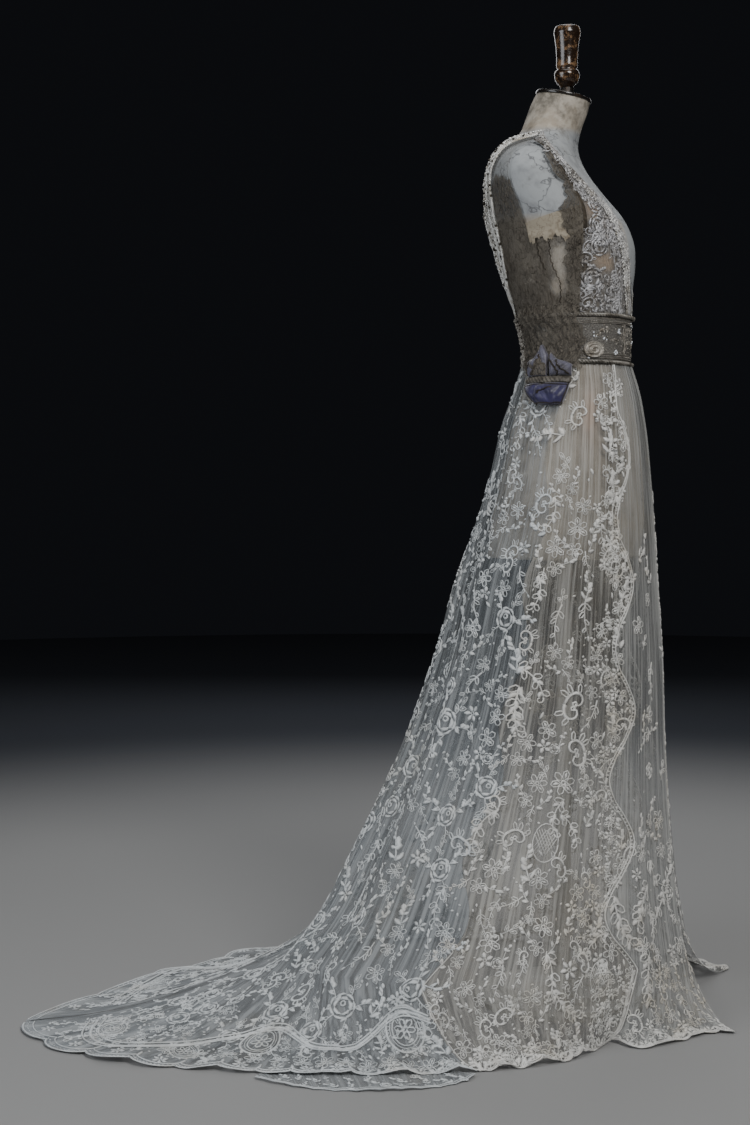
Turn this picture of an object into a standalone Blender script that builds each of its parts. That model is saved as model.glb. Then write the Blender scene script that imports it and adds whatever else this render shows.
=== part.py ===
"""A trained lace gown of about 1905 on a limbless dress form, at its real size in metres.

+X is the wearer's front, -Y the wearer's right side and +Z up. The origin is on the floor, on the
axis of the stand's pole. Every cloth piece is a thin wall over one of two surfaces: the dress form,
which carries the bodice and the waistband, and the skirt, which hangs from the waist and spreads
into its train. R pieces lie on the wearer's right side and L pieces on the left.
"""

import math

import bpy
import numpy as np

COLLECTION = "lace_gown_on_dress_form"
RIGHT, LEFT = -1.0, 1.0
SIDES = (("R", RIGHT), ("L", LEFT))

# Cloth
WALL = 0.0016
TRIM_WALL = 0.0022
SEAM = 0.0003
EASE = 0.0018
SHOULDER_EASE = 0.0014
SHOULDER_EASE_ROWS = (0.68, 0.80)
THINNEST = 0.0004
SEAM_PULL = 0.75 * SEAM
FINE_STEP = 1e-4

# Dress form: each section's height, its back and front on X, its half width, how far it tips forward
FORM_COLUMNS = ("z", "back", "front", "half", "tip")
FORM_SECTIONS = [
    (0.745, -0.128, 0.124, 0.148, 0.0),
    (0.800, -0.122, 0.130, 0.160, 0.0),
    (0.880, -0.106, 0.128, 0.161, 0.0),
    (0.963, -0.087, 0.118, 0.145, 0.0),
    (1.020, -0.071, 0.106, 0.124, 0.0),
    (1.060, -0.064, 0.101, 0.112, 0.0),
    (1.100, -0.066, 0.102, 0.108, 0.0),
    (1.141, -0.077, 0.103, 0.109, 0.0),
    (1.180, -0.091, 0.108, 0.117, 0.0),
    (1.220, -0.105, 0.113, 0.128, 0.0),
    (1.260, -0.117, 0.111, 0.139, 0.0),
    (1.300, -0.128, 0.094, 0.151, 0.0),
    (1.340, -0.130, 0.061, 0.161, 0.0),
    (1.372, -0.126, 0.037, 0.162, 0.0),
    (1.396, -0.118, 0.024, 0.144, 0.0),
    (1.412, -0.108, 0.019, 0.114, 0.0),
    (1.424, -0.096, 0.018, 0.085, 1.0),
    (1.438, -0.080, 0.020, 0.063, 3.0),
    (1.4625, -0.068, 0.0265, 0.050, 6.0),
    (1.482, -0.060, 0.033, 0.046, 9.0),
    (1.500, -0.0506, 0.0374, 0.0445, 10.7),
]
FORM_ROUND = 32

# Cap, collar and finial on the neck
CAP_RADIUS = 0.0462
CAP_THICKNESS = 0.0055
CAP_TIP = math.radians(10.7)
CAP_CENTRE = (-0.0060, 0.0, 1.5030)
FINIAL_X = -0.0005
FINIAL_BOTTOM = 1.5178
COLLAR_RADII = (0.0135, 0.0110)
FINIAL_PROFILE = [
    (0.0000, 0.1002), (0.0160, 0.1002), (0.0205, 0.0960), (0.0222, 0.0890), (0.0205, 0.0800),
    (0.0185, 0.0650), (0.0174, 0.0480), (0.0176, 0.0350), (0.0158, 0.0300), (0.0196, 0.0260),
    (0.0210, 0.0210), (0.0195, 0.0130), (0.0140, 0.0050), (0.0100, 0.0000), (0.0000, 0.0000),
]

# Stand
POLE_RADIUS = 0.013
BASE_PROFILE = [
    (0.000, 0.060), (0.022, 0.060), (0.027, 0.052), (0.036, 0.042), (0.070, 0.032),
    (0.105, 0.026), (0.112, 0.018), (0.142, 0.014), (0.150, 0.008), (0.150, 0.000), (0.000, 0.000),
]
TURNED_STEPS = 24

# Waistband, its two braids and its oval medallion
BAND_TOP = 1.1410
BAND_BOTTOM = 1.0580
BAND_COLUMNS = 36
BAND_ROWS = 4
BAND_WALL = 0.0030
BRAID_RADIUS = 0.0031
MEDALLION_SIZE = (0.0165, 0.0140, 0.0032)
MEDALLION_ANGLE = 68.0
MEDALLION_Z = 1.0810

# Bodice edges from the waist (t 0) to the shoulder (t 1): angle from centre front in degrees, height
EDGE_COLUMNS = ("t", "angle", "z")
BODICE_BOTTOM = 1.1416
NECKLINE = [
    (0.00, 7.0, BODICE_BOTTOM), (0.20, 20.0, 1.190), (0.42, 29.0, 1.255), (0.60, 34.0, 1.315),
    (0.78, 50.0, 1.368), (0.90, 70.0, 1.408), (1.00, 89.0, 1.431),
]
FRONT_SEAM = [
    (0.00, 80.0, BODICE_BOTTOM), (0.20, 76.0, 1.195), (0.42, 71.0, 1.258), (0.60, 62.0, 1.312),
    (0.78, 62.0, 1.362), (0.90, 72.0, 1.394), (1.00, 89.0, 1.410),
]
BACK_SEAM = [
    (0.00, 112.0, BODICE_BOTTOM), (0.20, 113.0, 1.195), (0.42, 113.0, 1.258), (0.60, 112.0, 1.312),
    (0.78, 114.0, 1.362), (0.90, 106.0, 1.394), (1.00, 91.0, 1.410),
]
CENTRE_BACK = [
    (0.00, 180.0, BODICE_BOTTOM), (0.20, 180.0, 1.195), (0.42, 180.0, 1.258), (0.60, 180.0, 1.315),
    (0.78, 176.0, 1.372), (0.90, 150.0, 1.412), (1.00, 91.0, 1.431),
]
BODICE_ROWS = np.array([0.0, 0.10, 0.20, 0.31, 0.42, 0.51, 0.60, 0.69, 0.78, 0.85, 0.90, 0.95, 1.0])
UNDERARM_ROW = 4
NECK_BAND_WIDTH = 0.020
NECK_BAND_MOST = 0.45
ARMHOLE_STRIP_WIDTH = 0.008
ARMHOLE_STRIP_MOST = 0.30
BACK_STRAP_SHARE = [(0.0, 0.82), (0.20, 0.62), (0.42, 0.48), (0.78, 0.42), (1.0, 0.42)]

# Skirt sections from the waist to the height where the cloth breaks on to the floor
SKIRT_COLUMNS = ("z", "back", "front", "half", "sweep")
SKIRT_SECTIONS = [
    (BAND_BOTTOM - THINNEST, -0.0715, 0.1085, 0.1195, 0.000),
    (1.0210, -0.0820, 0.1200, 0.136, 0.000),
    (0.9630, -0.1020, 0.1310, 0.159, 0.000),
    (0.8800, -0.1200, 0.1400, 0.177, 0.000),
    (0.7975, -0.1440, 0.1470, 0.185, -0.002),
    (0.7150, -0.1730, 0.1520, 0.193, -0.005),
    (0.5900, -0.2070, 0.1610, 0.207, -0.010),
    (0.4240, -0.2640, 0.1670, 0.232, -0.025),
    (0.2590, -0.3380, 0.1790, 0.268, -0.055),
    (0.1600, -0.3880, 0.1910, 0.300, -0.085),
    (0.1100, -0.4250, 0.2000, 0.322, -0.105),
]
HEM_BREAK = 1.0
FLOOR_FALL = 2.1
FRONT_PARTING = 0.030
PARTING_START = 0.68
PARTING_WIDTH = 0.10
PARTING_CURVE = 1.5

# Hem on the floor, from the front corner (s 0) round to the tip of the train (s 1)
HEM_COLUMNS = ("s", "x", "y")
HEM_RIGHT = [
    (0.000, 0.288, -0.164), (0.060, 0.241, -0.176), (0.120, 0.200, -0.222), (0.190, 0.136, -0.272),
    (0.245, 0.092, -0.246), (0.290, 0.068, -0.300), (0.360, 0.040, -0.346), (0.450, -0.018, -0.392),
    (0.550, -0.085, -0.424), (0.620, -0.160, -0.452), (0.700, -0.260, -0.474), (0.780, -0.372, -0.492),
    (0.850, -0.500, -0.492), (0.920, -0.660, -0.474), (0.965, -0.780, -0.410), (1.000, -0.854, -0.315),
]
HEM_LEFT = [
    (0.000, 0.280, 0.236), (0.060, 0.246, 0.252), (0.120, 0.196, 0.300), (0.190, 0.130, 0.328),
    (0.290, 0.040, 0.352), (0.420, -0.080, 0.372), (0.550, -0.220, 0.378), (0.680, -0.380, 0.342),
    (0.780, -0.520, 0.270), (0.850, -0.606, 0.183), (0.900, -0.672, 0.079), (0.945, -0.740, -0.040),
    (0.975, -0.806, -0.165), (1.000, -0.854, -0.315),
]
SKIRT_ROWS = np.array([0.0, 0.035, 0.09, 0.15, 0.22, 0.30, 0.42, 0.55, 0.68, 0.80, 0.91, 1.0])
FLOOR_ROWS = np.array([1.12, 1.27, 1.42])
BORDER_ROWS = np.array([1.42, 1.56, 1.70, 1.82, 1.92, 2.0])
HEM_ROWS = np.array([1.12, 1.27, 1.42, 1.60, 1.80, 2.0])
FRONT_COLUMNS = 12
SIDE_COLUMNS = 16
BACK_COLUMNS = 20

# The side lace panel's scalloped edges on the skirt
SIDE_FRONT_EDGE = 0.245
SIDE_BACK_EDGE = 0.555
SCALLOP_REACH = 0.034
SCALLOP_HEIGHT = 0.205
SCALLOP_TOP = 0.915
SCALLOP_FADE = 0.10
BACK_SCALLOP_SHARE = 0.6
HEM_SCALLOP = 0.014

# Hanging folds, right and left: place round the half skirt, depth at the floor, width
FOLD_COLUMNS = ("s", "depth", "width")
FOLDS_RIGHT = [
    (0.050, 0.006, 0.020), (0.125, -0.006, 0.022), (0.200, 0.008, 0.020), (0.300, -0.005, 0.025),
    (0.400, 0.007, 0.030), (0.490, -0.007, 0.024), (0.580, 0.009, 0.022), (0.660, -0.010, 0.022),
    (0.740, 0.013, 0.022), (0.820, -0.012, 0.025), (0.900, 0.015, 0.024), (0.970, -0.010, 0.018),
]
FOLDS_LEFT = [
    (0.060, 0.007, 0.022), (0.150, -0.007, 0.022), (0.230, 0.006, 0.024), (0.330, -0.008, 0.022),
    (0.430, 0.010, 0.026), (0.520, -0.008, 0.022), (0.610, 0.007, 0.024), (0.700, -0.011, 0.024),
    (0.780, 0.014, 0.022), (0.860, -0.010, 0.024), (0.935, 0.012, 0.020),
]
FOLD_AT_WAIST = 0.12
FOLD_LOST_ON_FLOOR = 0.55
GATHER_DEPTH = 0.0014
GATHER_END = 0.42

# Under-net that shows below the border on the right of the train
UNDER_HEM_SPAN = (0.575, 0.800)
UNDER_HEM_REACH = 0.074
UNDER_HEM_TUCK = 0.030
UNDER_HEM_COLUMNS = 14
UNDER_HEM_ROWS = 3
UNDER_HEM_TIP = 0.12
UNDER_HEM_ROUNDNESS = 0.6
UNDER_HEM_FRILL = 0.05
UNDER_HEM_INLAND = 1.9
BORDER_LIFT = WALL + 2 * SEAM

# Sash end on the right back hip: angle spans in degrees at the top and bottom, heights, fullness
SASH_PIECES = [
    ("sash_loop_front", (89.0, 110.0), (89.0, 110.0), (1.0345, 1.0655), 0.0120),
    ("sash_loop_back", (112.0, 136.0), (112.0, 134.0), (1.0345, 1.0655), 0.0100),
    ("sash_braid", (89.0, 136.0), (90.0, 134.0), (1.0225, 1.0340), 0.0050),
    ("sash_pouch", (90.0, 132.0), (94.0, 122.0), (0.9875, 1.0220), 0.0150),
]
SASH_GRID = (6, 8)
SASH_ROUNDNESS = 0.55
SASH_STAND_OFF = [
    (0.9875, 0.0168), (1.0215, 0.0162), (1.0345, 0.0142), (1.0530, 0.0124), (1.0655, 0.0124),
]

MATERIALS = {
    "net": ((0.62, 0.60, 0.55), 0.85, 0.0),
    "lace": ((0.80, 0.77, 0.70), 0.80, 0.0),
    "train_lace": ((0.78, 0.78, 0.76), 0.80, 0.0),
    "silver_lace": ((0.55, 0.54, 0.50), 0.60, 0.3),
    "tarnished_net": ((0.28, 0.22, 0.17), 0.75, 0.2),
    "beaded_trim": ((0.72, 0.66, 0.54), 0.50, 0.2),
    "dark_strip": ((0.12, 0.07, 0.05), 0.70, 0.0),
    "band_lace": ((0.42, 0.35, 0.28), 0.50, 0.4),
    "braid": ((0.50, 0.44, 0.35), 0.50, 0.4),
    "violet_satin": ((0.22, 0.12, 0.38), 0.35, 0.0),
    "form_linen": ((0.78, 0.71, 0.60), 0.80, 0.0),
    "dark_lacquer": ((0.03, 0.02, 0.015), 0.20, 0.0),
    "tortoiseshell": ((0.12, 0.06, 0.03), 0.20, 0.0),
    "dark_iron": ((0.05, 0.045, 0.04), 0.50, 0.8),
}


def clear_scene():
    for old in list(bpy.data.objects):
        bpy.data.objects.remove(old, do_unlink=True)


def make_materials():
    made = {}
    for name, (colour, roughness, metallic) in MATERIALS.items():
        made[name] = bpy.data.materials.new(name)
        made[name].use_nodes = True
        shader = made[name].node_tree.nodes["Principled BSDF"]
        shader.inputs["Base Color"].default_value = (*colour, 1.0)
        shader.inputs["Roughness"].default_value = roughness
        shader.inputs["Metallic"].default_value = metallic
    return made


def column(table, columns, name):
    """One named column of a table, as an array."""
    place = columns.index(name)
    return np.array([row[place] for row in table], dtype=float)


def read_smooth(where, table, columns, key, name):
    """Reads a column on a smooth curve through every row of its table."""
    keys = column(table, columns, key)
    values = column(table, columns, name)
    slopes = np.gradient(values, keys)
    where = np.asarray(where, dtype=float)
    low = np.clip(np.searchsorted(keys, where) - 1, 0, len(keys) - 2)
    span = keys[low + 1] - keys[low]
    u = np.clip((where - keys[low]) / span, 0.0, 1.0)
    start = (2 * u**3 - 3 * u**2 + 1) * values[low] + (u**3 - 2 * u**2 + u) * span * slopes[low]
    end = (3 * u**2 - 2 * u**3) * values[low + 1] + (u**3 - u**2) * span * slopes[low + 1]
    return start + end


def form_surface(side):
    """The dress form's skin: angle from centre front in radians and height give a point."""
    def surface(angle, z):
        back, front, half, tip = (
            read_smooth(z, FORM_SECTIONS, FORM_COLUMNS, "z", name)
            for name in ("back", "front", "half", "tip"))
        reach = (front - back) / 2 * np.cos(angle)
        x = (front + back) / 2 + reach
        y = side * half * np.sin(angle)
        return np.stack([x, y, z - reach * np.tan(np.radians(tip))], axis=-1)
    return surface


def hem_table(side):
    return HEM_RIGHT if side == RIGHT else HEM_LEFT


def fold_height(side, s):
    """Depth of the hanging folds at each place round the half skirt."""
    table = FOLDS_RIGHT if side == RIGHT else FOLDS_LEFT
    rows = zip(*(column(table, FOLD_COLUMNS, name) for name in FOLD_COLUMNS))
    return sum(depth * np.exp(-((s - place) / width) ** 2) for place, depth, width in rows)


def skirt_surface(side, folded=True):
    """The skirt: s runs from the front edge to centre back, v from waist (0) to break (1) to hem (2)."""
    top, low = SKIRT_SECTIONS[0][0], SKIRT_SECTIONS[-1][0]
    rising = SKIRT_SECTIONS[::-1]

    def surface(s, v):
        s, v = np.broadcast_arrays(np.asarray(s, float), np.asarray(v, float))
        hang = np.clip(v, 0.0, HEM_BREAK)
        spread = np.clip(v - HEM_BREAK, 0.0, 1.0)
        z = top + (low - top) * hang
        back, front, half, sweep = (
            read_smooth(z, rising, SKIRT_COLUMNS, "z", name)
            for name in ("back", "front", "half", "sweep"))
        angle = math.pi * s
        x = (front + back) / 2 + (front - back) / 2 * np.cos(angle)
        y = side * half * np.sin(angle) + sweep * (1 - np.cos(angle)) / 2
        hem_x = read_smooth(s, hem_table(side), HEM_COLUMNS, "s", "x")
        hem_y = read_smooth(s, hem_table(side), HEM_COLUMNS, "s", "y")
        parting = np.clip((hang - PARTING_START) / (HEM_BREAK - PARTING_START), 0, 1) ** PARTING_CURVE
        parting = side * FRONT_PARTING * parting * np.exp(-(s / PARTING_WIDTH) ** 2)
        x = x + (hem_x - x) * spread
        y = y + parting + (hem_y - y - parting) * spread
        z = z * (1 - spread) ** FLOOR_FALL
        if folded:
            fall = (FOLD_AT_WAIST + (1 - FOLD_AT_WAIST) * hang) * (1 - FOLD_LOST_ON_FLOOR * spread)
            out = fold_height(side, s) * fall
            norm = np.hypot(np.cos(angle) / (front - back), np.sin(angle) / half / 2)
            x = x + out * np.cos(angle) / (front - back) / norm * (1 - spread)
            y = y + side * out * np.sin(angle) / half / 2 / norm * (1 - spread)
            z = z + np.abs(out) * spread
        return np.stack([x, y, z], axis=-1)
    return surface


def normals(surface, a, b, turn):
    """Unit normals by small steps along both parameters; turn is 1 or -1, and points them outwards.

    It is the side on the form, whose height rises, and its opposite on the skirt, whose rows run down.
    """
    step = FINE_STEP
    along = surface(a + step, b) - surface(a - step, b)
    down = surface(a, b + step) - surface(a, b - step)
    cross = np.cross(along, down) * turn
    return cross / np.maximum(np.linalg.norm(cross, axis=-1, keepdims=True), 1e-12)


def pull_in(grid, first, last):
    """Draws a grid's edge rows in by half a seam, so that the next piece lies a seam away."""
    rows = grid.copy()
    for take, edge, inner in ((first, 0, 1), (last, -1, -2)):
        if take:
            run = grid[inner] - grid[edge]
            length = np.maximum(np.linalg.norm(run, axis=-1, keepdims=True), 1e-9)
            rows[edge] = grid[edge] + run / length * SEAM_PULL
    return rows


def link(mesh_object, materials, material):
    mesh_object.data.materials.clear()
    mesh_object.data.materials.append(materials[material])
    home = bpy.data.collections[COLLECTION]
    for old in list(mesh_object.users_collection):
        old.objects.unlink(mesh_object)
    home.objects.link(mesh_object)
    return mesh_object


def mesh_piece(name, points, faces, materials, material):
    mesh = bpy.data.meshes.new(name)
    mesh.from_pydata([tuple(point) for point in points], [], faces)
    mesh.validate()
    mesh.shade_smooth()
    mesh.set_sharp_from_angle(angle=math.radians(50))
    return link(bpy.data.objects.new(name, mesh), materials, material)


def grid_faces(rows, columns, start, flip, closed):
    """Triangles over a grid of points that starts at a given number."""
    faces = []
    for i in range(rows - 1):
        for j in range(columns if closed else columns - 1):
            k = (j + 1) % columns
            a, b = start + i * columns + j, start + i * columns + k
            c, d = a + columns, b + columns
            pair = [(a, b, d), (a, d, c)]
            faces += [face[::-1] for face in pair] if flip else pair
    return faces


def strip_faces(outer, inner, flip):
    """Triangles that join two lines of points along a wall's edge."""
    faces = []
    for a, b, c, d in zip(outer, outer[1:], inner, inner[1:]):
        pair = [(a, c, d), (a, d, b)]
        faces += [face[::-1] for face in pair] if flip else pair
    return faces


def wall(name, inner, outer, turn, materials, material, closed=False):
    """A closed wall between two grids of points. turn is the surface's handedness, as in normals."""
    rows, columns = inner.shape[:2]
    count = rows * columns
    flip = turn < 0
    faces = grid_faces(rows, columns, 0, flip, closed)
    faces += grid_faces(rows, columns, count, not flip, closed)
    index = np.arange(count).reshape(rows, columns)
    top, bottom = list(index[0]), list(index[-1])
    if closed:
        top.append(top[0])
        bottom.append(bottom[0])
    faces += strip_faces(top, [count + k for k in top], flip)
    faces += strip_faces(bottom, [count + k for k in bottom], not flip)
    if not closed:
        left, right = list(index[:, 0]), list(index[:, -1])
        faces += strip_faces(left, [count + k for k in left], not flip)
        faces += strip_faces(right, [count + k for k in right], flip)
    points = np.concatenate([outer.reshape(-1, 3), inner.reshape(-1, 3)])
    return mesh_piece(name, points, faces, materials, material)


def form_wall(name, side, angles, heights, gap, thickness, materials, material, ends=(False, False)):
    """A piece of cloth over the dress form, from grids of angle and height."""
    surface = form_surface(side)
    out = normals(surface, angles, heights, side)
    place = surface(angles, heights)
    grids = []
    for height in (gap, gap + thickness):
        grid = pull_in(place + out * np.asarray(height)[..., None], *ends)
        grid = pull_in(grid.transpose(1, 0, 2), True, True).transpose(1, 0, 2)
        grids.append(grid)
    return wall(name, *grids, side, materials, material)


def edge_line(table, rows):
    angle = np.radians(np.minimum(read_smooth(rows, table, EDGE_COLUMNS, "t", "angle"), 180.0))
    height = read_smooth(rows, table, EDGE_COLUMNS, "t", "z")
    return angle, height


def spread_between(line_a, line_b, start, end, columns):
    """A grid of angle and height over the part of the way between two lines that a piece covers."""
    shares = start[:, None] + (end - start)[:, None] * np.linspace(0, 1, columns + 1)[None, :]
    return tuple(a[:, None] + (b - a)[:, None] * shares for a, b in zip(line_a, line_b))


def edge_distance(side, table_a, table_b, rows):
    """How far apart two bodice edges lie along each row."""
    surface = form_surface(side)
    line_a = surface(*edge_line(table_a, rows))
    line_b = surface(*edge_line(table_b, rows))
    return np.linalg.norm(line_b - line_a, axis=-1)


def make_bodice(materials):
    rows = BODICE_ROWS
    upper = rows[UNDERARM_ROW:]
    lower = rows[:UNDERARM_ROW + 1]
    strap_start = read_smooth(rows, BACK_STRAP_SHARE, ("t", "share"), "t", "share")
    for mark, side in SIDES:
        width = edge_distance(side, NECKLINE, FRONT_SEAM, rows)
        band = np.minimum(NECK_BAND_WIDTH / width, NECK_BAND_MOST)
        strip = 1.0 - np.minimum(ARMHOLE_STRIP_WIDTH / width, ARMHOLE_STRIP_MOST)
        lace_end = np.where(np.arange(len(rows)) >= UNDERARM_ROW, strip, 1.0)
        none = np.zeros(len(rows))
        full = np.ones(len(rows))
        pieces = (
            ("neckline_band", NECKLINE, FRONT_SEAM, rows, none, band, 2, TRIM_WALL, "beaded_trim"),
            ("bodice_front", NECKLINE, FRONT_SEAM, rows, band, lace_end, 7, WALL, "silver_lace"),
            ("armhole_strip", NECKLINE, FRONT_SEAM, upper, strip[UNDERARM_ROW:],
             full[UNDERARM_ROW:], 1, TRIM_WALL, "dark_strip"),
            ("bodice_back", BACK_SEAM, CENTRE_BACK, rows, none, strap_start, 5, WALL, "net"),
            ("back_strap", BACK_SEAM, CENTRE_BACK, rows, strap_start, full, 6, TRIM_WALL,
             "beaded_trim"),
        )
        for name, edge_a, edge_b, lines, start, end, count, thickness, material in pieces:
            angles, heights = spread_between(
                edge_line(edge_a, lines), edge_line(edge_b, lines), start, end, count)
            climb = np.interp(lines, SHOULDER_EASE_ROWS, (0.0, 1.0))
            ease = (EASE + SHOULDER_EASE * climb)[:, None]
            form_wall(f"{name}_{mark}", side, angles, heights, ease, thickness, materials, material,
                      (False, True))
        seam = spread_between(edge_line(NECKLINE, lower), edge_line(FRONT_SEAM, lower),
                              lace_end[:UNDERARM_ROW + 1], lace_end[:UNDERARM_ROW + 1], 0)
        seam = tuple(line[:, 0] for line in seam)
        angles, heights = spread_between(seam, edge_line(BACK_SEAM, lower), none[:UNDERARM_ROW + 1],
                                         full[:UNDERARM_ROW + 1], 5)
        form_wall(f"bodice_side_{mark}", side, angles, heights, EASE, WALL, materials,
                  "tarnished_net")


def ring_line(z, gap, count):
    """Points round the form at one height, a gap off its skin."""
    surface = form_surface(RIGHT)
    angles = np.linspace(0, 2 * math.pi, count, endpoint=False)
    heights = np.full(count, z)
    return surface(angles, heights) + normals(surface, angles, heights, RIGHT) * gap


def make_waistband(materials):
    heights = np.linspace(BAND_TOP, BAND_BOTTOM, BAND_ROWS + 1)
    inner = np.stack([ring_line(z, EASE, BAND_COLUMNS) for z in heights])
    outer = np.stack([ring_line(z, EASE + BAND_WALL, BAND_COLUMNS) for z in heights])
    wall("waistband", inner, outer, 1.0, materials, "band_lace", closed=True)
    stand_off = EASE + BAND_WALL + 2 * SEAM + BRAID_RADIUS
    for name, z in (("braid_top", BAND_TOP - BRAID_RADIUS), ("braid_bottom", BAND_BOTTOM + BRAID_RADIUS)):
        path = ring_line(z, stand_off, BAND_COLUMNS)
        curve = bpy.data.curves.new(name, "CURVE")
        curve.dimensions = "3D"
        curve.bevel_depth = BRAID_RADIUS
        curve.bevel_resolution = 1
        spline = curve.splines.new("POLY")
        spline.points.add(len(path) - 1)
        for point, place in zip(spline.points, path):
            point.co = (*place, 1.0)
        spline.use_cyclic_u = True
        link(bpy.data.objects.new(name, curve), materials, "braid")


def make_medallion(materials):
    """A flattened boss on the waistband's right front, its broad face along the band."""
    surface = form_surface(RIGHT)
    angle = np.array([math.radians(MEDALLION_ANGLE)])
    height = np.array([MEDALLION_Z])
    out = normals(surface, angle, height, RIGHT)[0]
    across, up, deep = MEDALLION_SIZE
    place = surface(angle, height)[0] + out * (EASE + BAND_WALL + SEAM * 2 + deep)
    bpy.ops.mesh.primitive_uv_sphere_add(segments=16, ring_count=6, radius=1.0, location=tuple(place))
    boss = bpy.context.object
    boss.name = "medallion"
    boss.scale = (across, up, deep)
    boss.rotation_euler = (math.pi / 2, 0.0, math.atan2(out[0], -out[1]))
    link(boss, materials, "band_lace")


def side_edges(v):
    """Places of the side lace panel's front and back edges on the skirt at each row."""
    z = SKIRT_SECTIONS[0][0] + (SKIRT_SECTIONS[-1][0] - SKIRT_SECTIONS[0][0]) * np.clip(v, 0, 1)
    wave = np.cos(2 * math.pi * (z - SCALLOP_TOP) / SCALLOP_HEIGHT)
    fade = np.clip(v / SCALLOP_FADE, 0, 1) * (1 - np.clip(v - HEM_BREAK, 0, 1))
    front = SIDE_FRONT_EDGE - SCALLOP_REACH * wave * fade
    back = SIDE_BACK_EDGE + SCALLOP_REACH * BACK_SCALLOP_SHARE * wave * fade
    return front, back


def settle_on_floor(inner, outer, lift):
    """Lays the lowest cloth flat on the floor at its full thickness."""
    inner[..., 2] = np.maximum(inner[..., 2], lift)
    outer[..., 2] = np.maximum(outer[..., 2], inner[..., 2] + THINNEST)
    lying = inner[..., 2] <= lift
    outer[..., 2] = np.where(lying, np.maximum(outer[..., 2], lift + WALL), outer[..., 2])
    return inner, outer


def skirt_wall(name, side, rows, start, end, count, materials, material, lift=0.0, scalloped=False,
               first=False, last=False):
    """A skirt panel between two edges, gathered at the waist, and laid on the floor at its hem."""
    shares = np.linspace(0, 1, count + 1)[None, :]
    s = start[:, None] + (end - start)[:, None] * shares
    v = np.repeat(rows[:, None], count + 1, axis=1)
    surface = skirt_surface(side)
    out = normals(surface, s, v, -side)
    place = surface(s, v)
    pleat = GATHER_DEPTH * np.where(np.arange(count + 1) % 2 == 0, 1.0, -1.0)[None, :]
    place = place + out * (pleat * np.clip(1 - v / GATHER_END, 0, 1))[..., None]
    if scalloped:
        run = place[-2] - place[-1]
        length = np.linalg.norm(run, axis=-1, keepdims=True)
        dip = np.where(np.arange(count + 1) % 2 == 0, 1.0, 0.0)[:, None]
        dip[0] = dip[-1] = 0.0
        place[-1] = place[-1] + run / length * HEM_SCALLOP * dip
    grids = []
    for grid in (place - out * WALL, place.copy()):
        grid = pull_in(grid, first, last)
        grids.append(pull_in(grid.transpose(1, 0, 2), True, True).transpose(1, 0, 2).copy())
    inner, outer = settle_on_floor(*grids, lift)
    return wall(name, inner, outer, -side, materials, material)


def make_skirt(materials):
    long_rows = np.concatenate([SKIRT_ROWS, HEM_ROWS])
    back_rows = np.concatenate([SKIRT_ROWS, FLOOR_ROWS])
    for mark, side in SIDES:
        front_edge, back_edge = side_edges(long_rows)
        centre_front = np.zeros(len(long_rows))
        skirt_wall(f"skirt_front_{mark}", side, long_rows, centre_front, front_edge, FRONT_COLUMNS,
                   materials, "net")
        skirt_wall(f"skirt_side_{mark}", side, long_rows, front_edge, back_edge, SIDE_COLUMNS,
                   materials, "lace")
        back_start = side_edges(back_rows)[1]
        skirt_wall(f"skirt_back_{mark}", side, back_rows, back_start, np.ones(len(back_rows)),
                   BACK_COLUMNS, materials, "net", last=True)
        border_start = side_edges(BORDER_ROWS)[1]
        lift = BORDER_LIFT if side == RIGHT else 0.0
        skirt_wall(f"train_border_{mark}", side, BORDER_ROWS, border_start, np.ones(len(BORDER_ROWS)),
                   BACK_COLUMNS, materials, "train_lace", lift=lift, scalloped=True, first=True)


def make_under_hem(materials):
    """A strip of the under-net that lies on the floor, from below the border to past its hem."""
    surface = skirt_surface(RIGHT, folded=False)
    s = np.linspace(*UNDER_HEM_SPAN, UNDER_HEM_COLUMNS + 1)
    hem = surface(s, np.full(len(s), 2.0))
    inland = surface(s, np.full(len(s), UNDER_HEM_INLAND)) - hem
    inland[:, 2] = 0.0
    inland /= np.linalg.norm(inland, axis=-1, keepdims=True)
    swell = np.sin(np.linspace(UNDER_HEM_TIP, math.pi - UNDER_HEM_TIP, len(s)))[:, None]
    swell = swell ** UNDER_HEM_ROUNDNESS
    frill = 1.0 - UNDER_HEM_FRILL * (np.arange(len(s)) % 2)[:, None]
    far = hem - inland * UNDER_HEM_REACH * swell * frill
    near = hem + inland * UNDER_HEM_TUCK
    shares = np.linspace(0, 1, UNDER_HEM_ROWS + 1)[:, None, None]
    grid = near[None] + (far - near)[None] * shares
    inner, outer = grid.copy(), grid.copy()
    inner[..., 2] = 0.0
    outer[..., 2] = WALL
    wall("under_net_hem_R", inner, outer, 1.0, materials, "net")


def make_sash(materials):
    """Folded sash ends: pads that follow the hip, full in the middle and thin at their edges."""
    for name, top_angles, bottom_angles, heights, fullness in SASH_PIECES:
        across = np.linspace(0, 1, SASH_GRID[1] + 1)[None, :]
        down = np.linspace(0, 1, SASH_GRID[0] + 1)[:, None]
        start, end = (np.radians(top + (bottom - top) * down)
                      for top, bottom in zip(top_angles, bottom_angles))
        angle = start + (end - start) * across
        height = heights[1] + (heights[0] - heights[1]) * down + 0 * across
        surface = form_surface(RIGHT)
        out = normals(surface, angle, height, RIGHT)
        plump = (np.sin(math.pi * across) * np.sin(math.pi * down)) ** SASH_ROUNDNESS
        stand_off = read_smooth(height, SASH_STAND_OFF, ("z", "gap"), "z", "gap")
        inner = surface(angle, height) + out * stand_off[..., None]
        outer = inner + out * (TRIM_WALL + fullness * plump)[..., None]
        wall(name, inner, outer, 1.0, materials, "violet_satin" if name == "sash_pouch" else "braid")


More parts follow.
